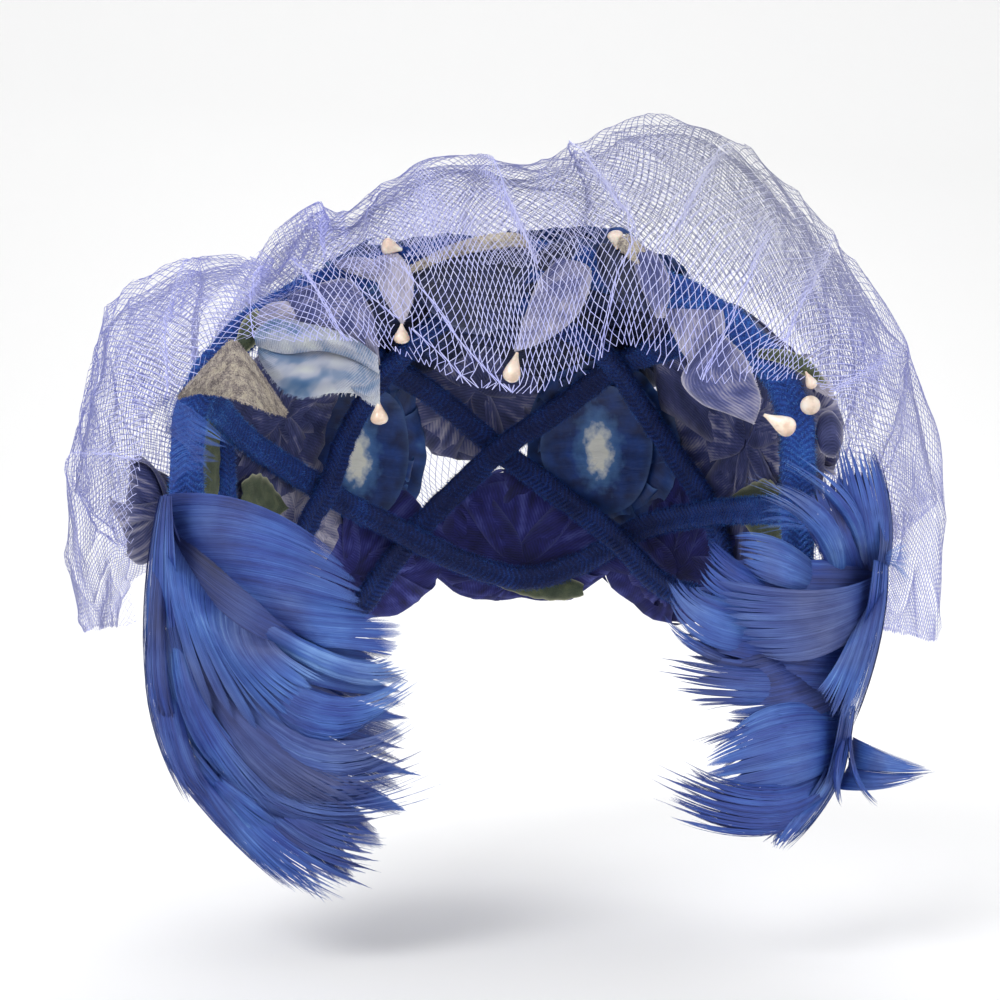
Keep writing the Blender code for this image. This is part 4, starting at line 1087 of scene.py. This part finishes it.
def net_finish():
    """Lilac thread, greyer at the high right of the veil."""
    paint = Paint("net", Sheen_Weight=0.3, Sheen_Roughness=0.4, Sheen_Tint=(0.6, 0.62, 1.0, 1))
    clouds = paint.noise(paint.object, 16.0)
    tone = paint.total(0.0, (clouds, 0.8), (paint.first, 0.25))
    colour = paint.ramp(
        tone, (0.32, (0.34, 0.36, 0.76)), (0.5, (0.46, 0.48, 0.82)), (0.72, (0.55, 0.56, 0.80))
    )
    # Greyer towards the high right of the veil, by place.
    greyer_high_right = paint.math("MULTIPLY", paint.between(0, 0.0, 0.07), paint.between(2, -0.02, 0.03))
    return paint.finish(paint.mix(greyer_high_right, colour, (0.48, 0.49, 0.60, 1)), paint.total(0.45, (clouds, 0.2)))


def make_finishes():
    """Every material of the hat by name."""
    return {
        "blue_velvet": velvet_finish(),
        **{cloth.name: petal_finish(cloth) for cloth in CLOTHS},
        "tan_suede": suede_finish(),
        "dyed_satin": dyed_finish(),
        "olive_velvet": olive_finish(),
        "pearl": pearl_finish(),
        "feather": feather_finish(),
        "net": net_finish(),
    }


def roll_section(half_width, half_thick):
    """Two rolls side by side, as places across and out."""
    angle = np.linspace(0, 2 * math.pi, BAND_SIDES, endpoint=False)
    along, up = np.cos(angle), np.sin(angle)
    full = np.sign(up) * np.abs(up) ** 0.75
    groove = 1 - BAND_GROOVE * (1 - np.abs(along)) ** 1.5
    return joined(half_width * along, half_thick * full * groove)


def band(name, places, lengths, normals, half_width, half_thick, rng):
    """A velvet band of two rolls, with short pile standing out all over it."""
    ahead = unit(np.gradient(places, axis=0))
    across = unit(np.cross(ahead, normals))
    out = unit(np.cross(across, ahead))
    section = roll_section(half_width, half_thick)
    beside, above = section[None, :, 0], section[None, :, 1]
    middle = places[:, None]
    grid = middle + across[:, None] * beside[..., None] + out[:, None] * above[..., None]
    swell = 1 + BAND_SWELL * waves(joined(lengths[:, None], beside), rng, 5, 5.0)
    grid = middle + (grid - middle) * swell[..., None]
    flat = joined(lengths[:, None], np.abs(beside) + above)
    mesh = Mesh()
    mesh.sheet(grid, flat, marks(grid.shape[:2], 0.0), wrap=True)
    for end in (0, -1):
        cap = np.stack([grid[end], np.repeat(places[end][None], BAND_SIDES, 0)])
        mesh.sheet(cap, np.stack([flat[end]] * 2), marks((2, BAND_SIDES), 0.0), wrap=True)
    count = int(lengths[-1] * PILE_COUNT)
    row = rng.uniform(0, len(places) - 1.001, count)
    column = rng.uniform(0, BAND_SIDES, count)
    i, j = row.astype(int), column.astype(int)
    u, v = (row - i)[:, None], (column - j)[:, None]
    k = (j + 1) % BAND_SIDES
    low = grid[i, j] * (1 - v) + grid[i, k] * v
    high = grid[i + 1, j] * (1 - v) + grid[i + 1, k] * v
    foot = low * (1 - u) + high * u
    outward = unit(foot - places[i])
    lean = unit(outward + PILE_LEAN * ahead[i] + rng.normal(0, PILE_LEAN, (count, 3)))
    top = foot + lean * rng.uniform(*PILE_LONG, (count, 1))
    wide = unit(np.cross(lean, rng.normal(size=(count, 3)))) * PILE_HALF
    # Each hair: a random tone, and a second value from 0 at its foot to 1 at its tip, which the velvet paints
    # as a highlight on the tips.
    tint = marks((count, 2), rng.uniform(0.0, 1.0, (count, 1)), np.array((0.0, 1.0)))
    mesh.hairs(foot, top, wide, 0.2, joined(lengths[i], flat[0, j, 1]), tint)
    mesh.finish(name + "_velvet", "blue_velvet", [name])


def make_bands():
    """The bands on the head form, then the arch with its legs."""
    rng = np.random.default_rng(SEED)
    for name, ways in BANDS.items():
        rows = [[*dome_point(way.turn, way.rise), way.lift] for way in ways]
        picked, lengths = evenly(rows, BAND_STEP)
        places = onto_dome(picked[:, :3], picked[:, 3])
        normals = dome_normal(onto_dome(picked[:, :3], picked[:, 3] * 0))
        band(name, places, lengths, normals, BAND_HALF_WIDTH, BAND_HALF_THICK, rng)
    angle = np.linspace(0, math.pi, 60)
    arch = joined(-HALF_WIDTH * np.cos(angle), ARCH_Y, SPRING_Z + CROWN_RISE * np.sin(angle))
    legs = (arch[0] - (0, 0, LEG_DROP_LEFT), arch[-1] - (0, 0, LEG_DROP_RIGHT))
    left = arch[0] + (legs[0] - arch[0]) * np.linspace(1, 0, 30, endpoint=False)[:, None]
    right = arch[-1] + (legs[1] - arch[-1]) * np.linspace(1 / 30, 1, 30)[:, None]
    places, lengths = evenly(np.concatenate([left, arch, right]), BAND_STEP)
    forward = np.broadcast_to(np.array((0.0, -1.0, 0.0)), places.shape)
    band("front_arch", places, lengths, forward, ARCH_HALF_RADIAL, ARCH_HALF_THICK, rng)


def tangent_frame(turn, rise):
    """A point of the head form, its normal, and the ways across and up over it."""
    middle = dome_point(turn, rise)
    out = dome_normal(middle)
    up = unit(np.array((0.0, 0.0, 1.0)) - out * out[2])
    return middle, out, np.cross(up, out), up


def flower(bloom, rng):
    """Overlapping petals dished away from the cap, over a skirt of larger ones darkened with painted shade.
    """
    middle, _, across, up = tangent_frame(bloom.turn, bloom.rise)
    mesh = Mesh()

    def place(x, y, lift):
        """Points of the flower laid on the head form, and how far from its middle they are."""
        shorter = 1 - (1 - bloom.below) * np.maximum(-y, 0) / np.maximum(np.hypot(x, y), 1e-6)
        x, y = x * shorter, y * shorter
        near = np.hypot(x * 1.25, y * 0.8) / bloom.radius * 1.35
        return onto_dome(middle + x[..., None] * across + y[..., None] * up, lift), near

    share = np.linspace(0.0, 1.0, PETAL_ROWS)[:, None]
    side = np.linspace(-1.0, 1.0, PETAL_COLUMNS)[None, :]
    breadth = math.sin(math.pi / bloom.petals) * PETAL_LAP
    pieces = []
    for i in range(2 * bloom.petals if bloom.skirt else bloom.petals):
        under = i >= bloom.petals
        turned = i + rng.uniform(-PETAL_TURNS, PETAL_TURNS)
        angle = math.radians(bloom.spin) + 2 * math.pi * turned / bloom.petals
        angle += under * math.pi / bloom.petals
        size = bloom.radius * rng.uniform(*PETAL_SIZES) * (bloom.skirt if under else 1.0)
        # The outline, with its corners rounded off and a notch in the middle of its end.
        round_off = np.sqrt(1 - 0.55 * share**6 * side**2) - 0.10 * share**2 * side**2
        notch = bloom.notch * 0.35 * share**4 * np.exp(-((side / 0.28) ** 2))
        along = size * share * (round_off - notch)
        wide = size * breadth * (0.10 + 0.90 * share**0.62) * side
        flat = joined(along, wide)
        x = along * math.cos(angle) - wide * math.sin(angle)
        y = along * math.sin(angle) + wide * math.cos(angle)
        # The relief: ruffles, pleats, a tilt to one side and curled corners.
        ruffle = waves(flat + 40 * i, rng, 6, 11.0) * RUFFLE_HIGH * share**2
        crest = np.abs(np.sin(4.5 * math.pi * side + rng.uniform(0, 3)))
        pleat = PLEAT_HIGH * crest * share
        lift = bloom.lift + bloom.cup * share**2 * 1.1 + TILT_HIGH * side * share + np.maximum(ruffle, -0.4)
        lift = lift + pleat + 1.6 * share**4 * side**2 + NEXT_HIGH * (i % bloom.petals) + 1.0 * under
        # The shading: light on the crests, dark between them and at the root.
        shading = (pleat - 0.2 * share) * 1.1 + 0.10 * waves(flat + 40 * i, rng, 5, 14.0)
        shading = shading + 0.6 * share * crest**8 - 0.3 * (1 - share) ** 4
        grid, near = place(x, y, lift)
        rim = np.maximum(share, np.abs(side)) * 0.94
        # Petals of the skirt beneath are darkened: painted shade.
        pale = bloom.pale + rng.uniform(-PETAL_TONES, PETAL_TONES) - UNDER_SHADE * under
        mark = marks(grid.shape[:2], np.clip(pale + shading, 0, 1), near + 2 * under, rim)
        mesh.sheet(grid, flat + (60 * i, 0), mark)
        pieces.append((size, 2 * size * breadth))
    if bloom.disc:
        turn = np.linspace(0, 2 * math.pi, 49)[None, :]
        reach = bloom.radius * 0.86 * share * (1 + 0.05 * np.sin(3 * turn + 1) * share)
        flat = joined(reach * np.cos(turn), reach * np.sin(turn))
        swell = 0.35 * waves(flat, rng, 5, 16.0)
        lift = bloom.lift - 0.9 + 1.2 * share**2 + 0.3 * swell * share
        grid, near = place(flat[..., 0], flat[..., 1], lift)
        mesh.sheet(grid, flat, marks(grid.shape[:2], 0.25 * (1 - share**2), near, share * 0.94))
        pieces.append((1.75 * bloom.radius, 1.75 * bloom.radius))
    petals = mesh.finish(bloom.name + "_petals", bloom.cloth, [bloom.name])
    cut_sheet(mesh, pieces)


def make_flowers():
    """Every flower, one piece each."""
    rng = np.random.default_rng(SEED + 1)
    for bloom in BLOOMS:
        flower(bloom, rng)


def leaf_sheet(mesh, leaf, rng):
    """A leaf on the head form, with a raised rim and veins."""
    share = np.linspace(0, 1, LEAF_ROWS)[:, None]
    side = np.linspace(-1, 1, LEAF_COLUMNS)[None, :]
    middle, out, across, up = tangent_frame(leaf.turn, leaf.rise)
    lean = math.radians(leaf.lean)
    along = across * math.cos(lean) + up * math.sin(lean)
    beside = np.cross(out, along)
    outline = np.sin(math.pi * (0.08 + 0.9 * share) ** 0.8)
    half = leaf.width / 2 * outline * (1 + 0.05 * np.sin(share * 40))
    flat = joined(leaf.length * (share - 0.5), side * half)
    point = middle + flat[..., :1] * along + flat[..., 1:] * beside
    veins = 0.18 * np.sin(8 * math.pi * share + 2.5 * np.abs(side))
    lift = leaf.lift + leaf.cup * np.abs(side) + veins + 0.5 * waves(flat, rng, 4, 12.0) * np.abs(side)
    mesh.sheet(onto_dome(point, lift), flat, marks(lift.shape, 0.2, share, np.abs(side)))
    return leaf.length, leaf.width


def make_leaves():
    """The olive leaves, one piece for each node."""
    rng = np.random.default_rng(SEED + 2)
    for name in dict.fromkeys(leaf.name for leaf in LEAVES):
        mesh = Mesh()
        pieces = [leaf_sheet(mesh, leaf, rng) for leaf in LEAVES if leaf.name == name]
        cloth = mesh.finish(name + "_cloth", "olive_velvet", [name])
        cut_sheet(mesh, pieces)


def fold_sheet(mesh, fold, rng):
    """A petal between two edges read from the picture, with creases and a frayed lower edge."""
    share = np.linspace(0, 1, FOLD_ROWS)
    side = np.linspace(0, 1, FOLD_COLUMNS)[None, :]
    upper, lower = spline(fold.upper, share), spline(fold.lower, share)
    pixels = upper[:, None] * (1 - side[..., None]) + lower[:, None] * side[..., None]
    along = share[:, None]
    depth = fold.root_y + (fold.tip_y - fold.root_y) * along
    arched = np.sin(math.pi * side) * np.sin(math.pi * (0.1 + 0.9 * along)) ** 0.7
    laid = seen(pixels[..., 0], pixels[..., 1], depth + 0 * side)
    run = run_along(laid[:, FOLD_COLUMNS // 2])
    width = np.linalg.norm(laid[:, -1] - laid[:, 0], axis=1)
    flat = joined(run[:, None], side * width[:, None])
    crease = np.abs(np.sin(math.pi * (fold.creases * side + 0.35 * along))) ** 0.6 - 0.6
    depth = depth - fold.belly * arched - CREASE_HIGH * crease * np.minimum(arched * 2, 1)
    depth = depth + BILLOW_HIGH * waves(flat, rng, 6, 9.0) * np.minimum(arched * 1.5, 1)
    grid = seen(pixels[..., 0], pixels[..., 1], depth)
    rim = np.maximum(np.abs(2 * side - 1), along)
    # Painted shade: darker towards the root and over the creases; the waves are random tone.
    tone = fold.pale + 0.28 * (along - 0.55) - 0.16 * (0.2 + crease) + 0.08 * waves(flat, rng, 6, 7.0)
    shade = marks(grid.shape[:2], np.clip(tone, 0, 1), 2.0, rim)
    mesh.sheet(grid, flat, shade)
    if fold.cloth in ("tan_suede", "olive_velvet"):
        fuzz(mesh, grid, flat, shade, int(run[-1] * width.mean() * FUZZ_COUNT), rng)
    frayed = [(-1, -3)] if fold.fray else []
    if fold.fray and fold.cloth == "tan_suede":
        frayed.append((0, 2))
    for edge, inner in frayed:
        outward = grid[:, edge] - grid[:, inner]
        fringe(mesh, grid[:, edge], outward, flat[:, edge], shade[:, edge], fold.fray, rng)
    return run[-1], width.max()


def fuzz(mesh, grid, flat, shade, count, rng):
    """Short hairs that stand out of a sheet towards the camera."""
    rows, columns = grid.shape[:2]
    i, j = rng.integers(0, rows - 1, count), rng.integers(0, columns - 1, count)
    u, v = rng.uniform(size=(2, count, 1))
    near = grid[i, j] * (1 - u) + grid[i + 1, j] * u
    far = grid[i, j + 1] * (1 - u) + grid[i + 1, j + 1] * u
    foot = near * (1 - v) + far * v
    normal = unit(np.cross(grid[i + 1, j] - grid[i, j], grid[i, j + 1] - grid[i, j]))
    normal = normal * np.sign(-normal[:, 1:2] + 1e-9)
    lean = unit(normal + rng.normal(0, 0.7, (count, 3)))
    top = foot + lean * FUZZ_LONG * rng.uniform(0.4, 1.0, (count, 1))
    wide = unit(np.cross(lean, rng.normal(size=(count, 3)))) * FUZZ_HALF
    mark = shade[i, j].copy()
    mark[:, 0] = np.clip(mark[:, 0] + rng.normal(0, 0.3, count), 0, 1)
    mesh.hairs(foot, top, wide, 0.3, flat[i, j], both(mark))


def fringe(mesh, edge, outward, flat, shade, length, rng):
    """Loose threads along an edge."""
    run = run_along(edge)
    count = int(run[-1] / FRAY_PITCH)
    at = np.sort(rng.uniform(0, run[-1], count))
    foot = np.stack([np.interp(at, run, column) for column in edge.T], -1)
    way = unit(np.stack([np.interp(at, run, column) for column in unit(outward).T], -1))
    way = unit(way + rng.normal(0, 0.22, (count, 3)))
    top = foot + way * length * rng.uniform(0.3, 1.0, (count, 1))
    wide = unit(np.cross(way, (0.0, -1.0, 0.0))) * FRAY_HALF
    nearest = np.clip(np.searchsorted(run, at), 0, len(edge) - 1)
    mesh.hairs(foot - way * FRAY_ROOT, top, wide, 0.7, flat[nearest], both(shade[nearest]))


def make_folds():
    """The petals over the front arch, one piece for each node and cloth."""
    rng = np.random.default_rng(SEED + 3)
    for node, cloth in dict.fromkeys((fold.name, fold.cloth) for fold in FOLDS):
        mesh = Mesh()
        pieces = [fold_sheet(mesh, fold, rng) for fold in FOLDS if (fold.name, fold.cloth) == (node, cloth)]
        piece = mesh.finish(f"{node}_{cloth}", FOLD_SLOTS.get(cloth, cloth), [node], finish=cloth)
        cut_sheet(mesh, pieces)


def pearl_line(pearl):
    """Where the neck of a pearl is, and the way from it to the end."""
    neck = np.array((pearl.x, pearl.y, pearl.z))
    return neck, unit(np.array((pearl.lean_x, pearl.lean_y, pearl.lean_z)))


def make_pearls():
    """The drops, turned from one profile."""
    rings = spline(PEARL_PROFILE, np.linspace(0, 1, PEARL_RINGS))
    angle = np.linspace(0, 2 * math.pi, PEARL_SIDES, endpoint=False)
    for pearl in PEARLS:
        neck, axis = pearl_line(pearl)
        beside = unit(np.cross(axis, (0.31, 0.2, 0.93) if abs(axis[2]) < 0.9 else (1.0, 0.1, 0.0)))
        other = np.cross(axis, beside)
        turn = np.cos(angle)[:, None] * beside + np.sin(angle)[:, None] * other
        along, out = rings[:, None, :1] * pearl.length, rings[:, None, 1:] * pearl.girth / 2
        mesh = Mesh()
        flat = joined(along[..., 0], angle[None])
        mesh.sheet(neck + along * axis + out * turn[None], flat, marks(flat.shape[:2], 0.5), wrap=True)
        mesh.finish(pearl.name + "_drop", "pearl", [pearl.name])


def fan_point(row, side, along):
    """The place on a fan from side to side and along it, both as shares."""
    rails = np.stack([spline(curve, side) for curve in (row.root, row.middle, row.tip)])
    pixels = (
        rails[0] * ((1 - along) * (1 - 2 * along))[..., None]
        + rails[1] * (4 * along * (1 - along))[..., None]
        + rails[2] * (along * (2 * along - 1))[..., None]
    )
    depth = np.interp(along, FAN_SHARES, WRAP_DEPTHS if row.back == (1, 0) else FAN_DEPTHS)
    behind = row.back[0] * (1 - side) + row.back[1] * side
    depth = depth + behind * (FAN_REAR - depth)
    forward = row.layer * FAN_FORWARD * np.minimum(0.2 + 2 * along, 1) * (1 - behind)
    belly = FAN_BELLY * (1 - (2 * side - 1) ** 2) * np.sin(math.pi * np.clip(along, 0, 1)) ** 0.5
    return seen(pixels[..., 0], pixels[..., 1], depth - forward - belly * (1 - row.back[0]))


def curve_length(curve, depth):
    """The length in millimetres of a curve in picture pixels at a depth."""
    pixels = spline(curve, np.linspace(0, 1, 9))
    return np.linalg.norm(np.diff(seen(pixels[:, 0], pixels[:, 1], depth), axis=0), axis=1).sum()


def parted(row, u, rng):
    """Where strands at shares u across a fan run, drawn together in locks, and each one's lock."""
    count = len(u)
    sizes = rng.integers(3, max(count // 7, 6), count)
    lock = np.searchsorted(np.cumsum(sizes), np.arange(count), side="right")
    centre = np.array([u[lock == g].mean() if (lock == g).any() else 0.0 for g in range(lock.max() + 1)])
    s = np.linspace(0, 1, STRAND_STEPS + 1)[None, :]
    off = np.abs(u - centre[lock]) * count / np.maximum(np.bincount(lock)[lock] / 2, 1)
    short = 1.06 - row.split * 0.18 * rng.uniform(0, 1, count)[lock] - (0.02 + 0.10 * row.split) * off**1.5
    along = s * (short - 0.03 * rng.uniform(0, 1, count))[:, None]
    pull = (centre[lock] - u) * min(0.05 + 1.15 * row.split, 0.95)
    side = np.clip(u[:, None] + pull[:, None] * along ** (7 - 4 * row.split), 0, 1)
    return side, along, lock


def fan(mesh, row, rng):
    """Strands laid side by side from the fan's first curve to its last, parting into locks."""
    width = curve_length(row.middle, FAN_DEPTHS[2])
    spread = curve_length(row.tip, FAN_DEPTHS[3])
    hair = row.split >= HAIR_SPLIT
    count = max(int(max(width, 0.8 * spread) / (STRAND_PITCH * (HAIR_PITCH if hair else 1))), 7)
    u = (np.arange(count) + 0.5) / count
    side, along, lock = parted(row, u, rng)
    line = fan_point(row, side, along)
    beside = fan_point(row, side + 0.01, along) - fan_point(row, side - 0.01, along)
    gap = np.linalg.norm(beside, axis=-1) / 0.02 / count
    beside = unit(beside)
    facing = unit(np.cross(beside, unit(np.gradient(line, axis=1))))
    facing = facing * np.sign(-facing[..., 1:2] + 1e-6)
    loose = (rng.normal(size=count)[lock] * row.split)[:, None]
    line = line + facing * (LOCK_OFF * loose * along**3)[..., None]
    line = line + beside * (LOCK_ASIDE * loose * along**5)[..., None]
    line = line + facing * (STRAND_OFF * rng.normal(size=count))[:, None, None]
    s = np.linspace(0, 1, STRAND_STEPS + 1)[None, :]
    ends = np.where(s < 0.75, 1.0, 1.0 - 0.8 * (s - 0.75) / 0.25)
    half = np.clip(gap * 0.85, STRAND_HALF[0], HAIR_WIDE if hair else STRAND_HALF[1]) * ends
    across = (beside + facing * (0.16 + 0.16 * rng.normal(size=count))[:, None, None]) * half[..., None]
    tone = row.tone + 0.10 * waves(joined(u * count * 0.05, u * 0), rng, 4, 1.2)
    tone = tone + STRAND_TONES * rng.normal(size=count) + LOCK_TONES * rng.normal(size=count)[lock]
    shade = np.clip(tone[:, None] + 0.10 * (along - 0.4), 0, 1)
    placed = u[:, None] * width
    cast = row.slate + 0.28 * waves(joined(placed, along * 50), rng, 5, 30.0)
    mark = marks(line.shape[:2], shade, along, np.clip(cast, 0, 1))
    mesh.strips(line, across, joined(placed, along * 60), mark)
    if row.quill:
        start = fan_point(row, np.linspace(0, 1, 24), np.full(24, 0.02))
        quill(mesh, start - (0.0, QUILL_FORWARD, 0.0))


def quill(mesh, line):
    """A thin tapered shaft."""
    width = np.linspace(*QUILL_HALF, len(line))[:, None, None]
    run = unit(np.gradient(line, axis=0))
    beside = unit(np.cross(run, (0.0, 1.0, 0.0)))
    facing = np.cross(beside, run)
    ring = np.linspace(0, 2 * math.pi, 5, endpoint=False)[None, :, None]
    tube = line[:, None] + width * (beside[:, None] * np.cos(ring) + facing[:, None] * np.sin(ring))
    mesh.sheet(tube, np.zeros((*tube.shape[:2], 2)), marks(tube.shape[:2], 0.2, 0.0, 0.3), wrap=True)


def make_feathers():
    """The barbs of both pads."""
    rng = np.random.default_rng(SEED + 4)
    for name, rows in (("feather_pad_left", LEFT_FANS), ("feather_pad_right", RIGHT_FANS)):
        mesh = Mesh()
        for row in rows:
            fan(mesh, row, rng)
        mesh.finish(name + "_barbs", "feather", [name])


def hem_points(share):
    """The back edge of the veil, round behind the head from the left side to the right."""
    turn = math.pi * share
    middle = np.sin(turn)
    drop = HEM_LOW_Z + (HEM_BACK_Z - HEM_LOW_Z) * middle**0.5
    drop = drop + HEM_WAVE * middle * np.sin(HEM_WAVES * turn)
    wide = 1.0 + HEM_FLARE * middle * np.sin(HEM_WAVES * turn + 1.5)
    return joined(-HEM_SIDE * np.cos(turn) * wide, HEM_FRONT_Y + HEM_DEPTH * middle * wide, drop)


def round_between(start, end, share):
    """Points between two others that keep their distance from the middle of the veil."""
    a, b = start - VEIL_CENTRE, end - VEIL_CENTRE
    far_a, far_b = np.linalg.norm(a, axis=-1, keepdims=True), np.linalg.norm(b, axis=-1, keepdims=True)
    angle = np.arccos(np.clip((unit(a) * unit(b)).sum(-1, keepdims=True), -1, 1))
    turned = (unit(a) * np.sin((1 - share) * angle) + unit(b) * np.sin(share * angle)) / np.sin(angle)
    return VEIL_CENTRE + turned * (far_a * (1 - share) + far_b * share)


def veil_points(around, across):
    """Points of the net: around from left to right and across from front edge to hem."""
    row = spline(VEIL, around)
    edge, crest = row[:, :3], row[:, 3:]
    hem = hem_points(around)
    middle = np.sin(math.pi * np.clip(around, 0, 1)) ** 0.5
    brow = (edge + crest) / 2 + np.array(BROW) * middle[:, None]
    high, low = round_between(crest, hem, 0.35), round_between(crest, hem, 0.7)
    rails = np.stack([edge, brow, crest, high, low, hem])
    return spline(rails.reshape(6, -1), across).reshape(len(across), len(around), 3)


def spaced(points, pitch):
    """Shares along the first axis of a grid that space its rows evenly on the whole."""
    steps = np.linalg.norm(np.diff(points, axis=0), axis=-1).mean(1)
    run = np.concatenate([[0], np.cumsum(steps)])
    wanted = np.linspace(0, run[-1], int(run[-1] / pitch) + 1)
    return np.interp(wanted, run, np.linspace(0, 1, len(run))), run[-1]


def veil_grid(layer, rng):
    """Knots of a layer of the net, pleated and ruffled, their normals, its length and width."""
    fine_round = np.linspace(layer.first, layer.last, 300)
    fine_deep = np.linspace(layer.near, layer.deep, 120)
    rough = veil_points(fine_round, fine_deep)
    across, long = spaced(rough, MESH_ALONG * layer.mesh)
    around, wide = spaced(np.swapaxes(rough, 0, 1), MESH_ACROSS * layer.mesh)
    across = layer.near + across * (layer.deep - layer.near)
    around = layer.first + around * (layer.last - layer.first)
    grid = veil_points(around, across)
    normal = unit(np.cross(np.gradient(grid, axis=1), np.gradient(grid, axis=0)))
    normal = normal * np.sign((normal * (grid - VEIL_CENTRE)).sum(-1, keepdims=True))
    u, v = np.meshgrid(around, across)
    place = joined(u * VEIL_ROUND, v * VEIL_ACROSS)
    turns = math.pi * (u * PLEATS + 0.5 * np.sin(u * 31)) + 1.2 * waves(place, rng, 4, 90.0)
    pleat = (1 - np.abs(np.sin(turns))) ** 2.2
    hang = np.clip(v / 0.12, 0, 1)
    fade = np.clip(1.25 - v * 1.1, 0.35, 1)
    lift = (pleat - 0.3) * (0.9 + 0.3 * hang * fade)
    lift = lift + SWELL_HIGH * waves(place, rng, 8, SWELL_SIZE)
    lift = lift + RIPPLE_HIGH * waves(place, rng, 8, RIPPLE_SIZE)
    gather = waves(joined(u * VEIL_ROUND, 0 * u), rng, 6, GATHER_SIZE)
    shift = DRIFT_FAR * waves(place, rng, 8, DRIFT_SIZE) + GATHER_FAR * gather * fade
    for rope in ROPES:
        window = np.clip((v - rope.start) / 0.03 + 1, 0, 1) * np.clip((rope.end - v) / 0.06, 0, 1)
        off = (u - rope.around - rope.slant * v) * VEIL_ROUND
        shift = shift - 0.85 * off * np.exp(-((off / rope.reach) ** 2)) * window
        lift = lift + 0.5 * np.exp(-((2 * off / rope.reach) ** 2)) * window
    sideways = unit(np.gradient(grid, axis=1))
    grid = grid + normal * (lift - layer.inward)[..., None] + sideways * shift[..., None]
    return grid, normal, long, wide


def before_pearl(points):
    """Whether points lie in front of a pearl, as the camera sees them, so that it shows."""
    hidden = np.zeros(points.shape[:-1], bool)
    span = SIGHT * (points[..., 1] - EYE[1])
    across, height = (points[..., 0] - EYE[0]) / span, (points[..., 2] - EYE[2]) / span
    for pearl in PEARLS:
        neck, axis = pearl_line(pearl)
        for share in (0.15, 0.45, 0.75):
            at = neck + axis * pearl.length * share
            size = SIGHT * (at[1] - EYE[1])
            far = np.hypot(across - (at[0] - EYE[0]) / size, height - (at[2] - EYE[2]) / size)
            hidden |= (far < pearl.girth * PEARL_ROOM / size) & (points[..., 1] < pearl.y)
    return hidden


def net_threads(mesh, grid, normal, rng, ragged):
    """Flat threads between the knots of a grid, each turned a little on its own axis."""
    rows, columns = grid.shape[:2]
    i, j = np.meshgrid(np.arange(rows - 1), np.arange(columns), indexing="ij")
    clear = ~before_pearl((grid[:-1] + grid[1:]) / 2)
    for step in (1, -1):
        keep = ((i + j) % 2 == 0) & (j + step >= 0) & (j + step < columns)
        keep &= ~((i < 2) & (rng.uniform(size=i.shape) < ragged * (2 - i) / 2))
        keep &= ~(rng.uniform(size=i.shape) < LOST_THREADS)
        keep &= clear
        a_i, a_j = i[keep], j[keep]
        start, end, face = grid[a_i, a_j], grid[a_i + 1, a_j + step], normal[a_i, a_j]
        count = len(start)
        flat_way = np.cross(unit(end - start), face)
        turn = (step * THREAD_TURN + rng.normal(0, 0.12, count))[:, None]
        across = (flat_way * np.cos(turn) + face * np.sin(turn)) * THREAD / 2
        tint = marks((count,), rng.uniform(0, 1, count))
        mesh.hairs(start, end, across, 1.0, np.zeros((count, 2)), both(tint))


def make_veil():
    """The net: one whole layer, and folds of it that lie under the top and the back."""
    rng = np.random.default_rng(SEED + 5)
    for row in LAYERS:
        mesh = Mesh()
        grid, normal, long, wide = veil_grid(row, rng)
        net_threads(mesh, grid, normal, rng, row.ragged)
        layer = mesh.finish(row.name, "net", ["veil"], smooth=False)


def floor_material():
    """Plain pale paint."""
    made = bpy.data.materials.new("floor")
    made.use_nodes = True
    shader = made.node_tree.nodes["Principled BSDF"]
    shader.inputs["Base Color"].default_value = (0.93, 0.93, 0.93, 1)
    shader.inputs["Roughness"].default_value = 0.9
    return made


def make_floor():
    """A pale floor that curves up into a backdrop."""
    profile = [(FLOOR_FRONT, FLOOR_Z), (FLOOR_BACK, FLOOR_Z)]
    for a in np.linspace(0.1, math.pi / 2, 12):
        rise = FLOOR_BEND * (1 - math.cos(a))
        profile.append((FLOOR_BACK + FLOOR_BEND * math.sin(a), FLOOR_Z + rise))
    profile.append((FLOOR_BACK + FLOOR_BEND, WALL_TOP))
    points = [(x, y, z) for y, z in profile for x in (-FLOOR_SIDE, FLOOR_SIDE)]
    faces = [(2 * i, 2 * i + 1, 2 * i + 3, 2 * i + 2) for i in range(len(profile) - 1)]
    mesh = bpy.data.meshes.new("floor")
    mesh.from_pydata(points, [], faces)
    mesh.shade_smooth()
    mesh.materials.append(floor_material())
    floor = linked("floor", mesh)


def make_lamp(row):
    """A round soft lamp that faces its aim."""
    light = bpy.data.lights.new(row.name, "AREA")
    light.shape = "DISK"
    light.size = row.size
    light.energy = row.power
    lamp = linked(row.name, light)
    lamp.location = row.place
    way = np.array(row.aim, float) - np.array(row.place, float)
    level = math.hypot(way[0], way[1])
    lamp.rotation_euler = (math.atan2(level, -way[2]), 0.0, math.atan2(way[1], way[0]) - math.pi / 2)


def make_stage():
    """The floor, soft lights and the camera of the photograph."""
    make_floor()
    for row in LAMPS:
        make_lamp(row)
    scene = bpy.context.scene
    scene.world = bpy.data.worlds.new("studio")
    scene.world.use_nodes = True
    background = scene.world.node_tree.nodes["Background"].inputs
    background["Color"].default_value = (1, 1, 1, 1)
    background["Strength"].default_value = WORLD_LIGHT
    scene.view_settings.view_transform = "Standard"
    lens = bpy.data.cameras.new("camera")
    lens.lens, lens.sensor_width, lens.clip_start = LENS, SENSOR, 0.01
    camera = linked("camera", lens)
    camera.location = EYE * MM
    camera.rotation_euler = (math.pi / 2, 0, 0)
    scene.camera = camera


make_stage()
finishes = make_finishes()
make_bands()
make_flowers()
make_leaves()
make_folds()
make_pearls()
make_feathers()
make_veil()
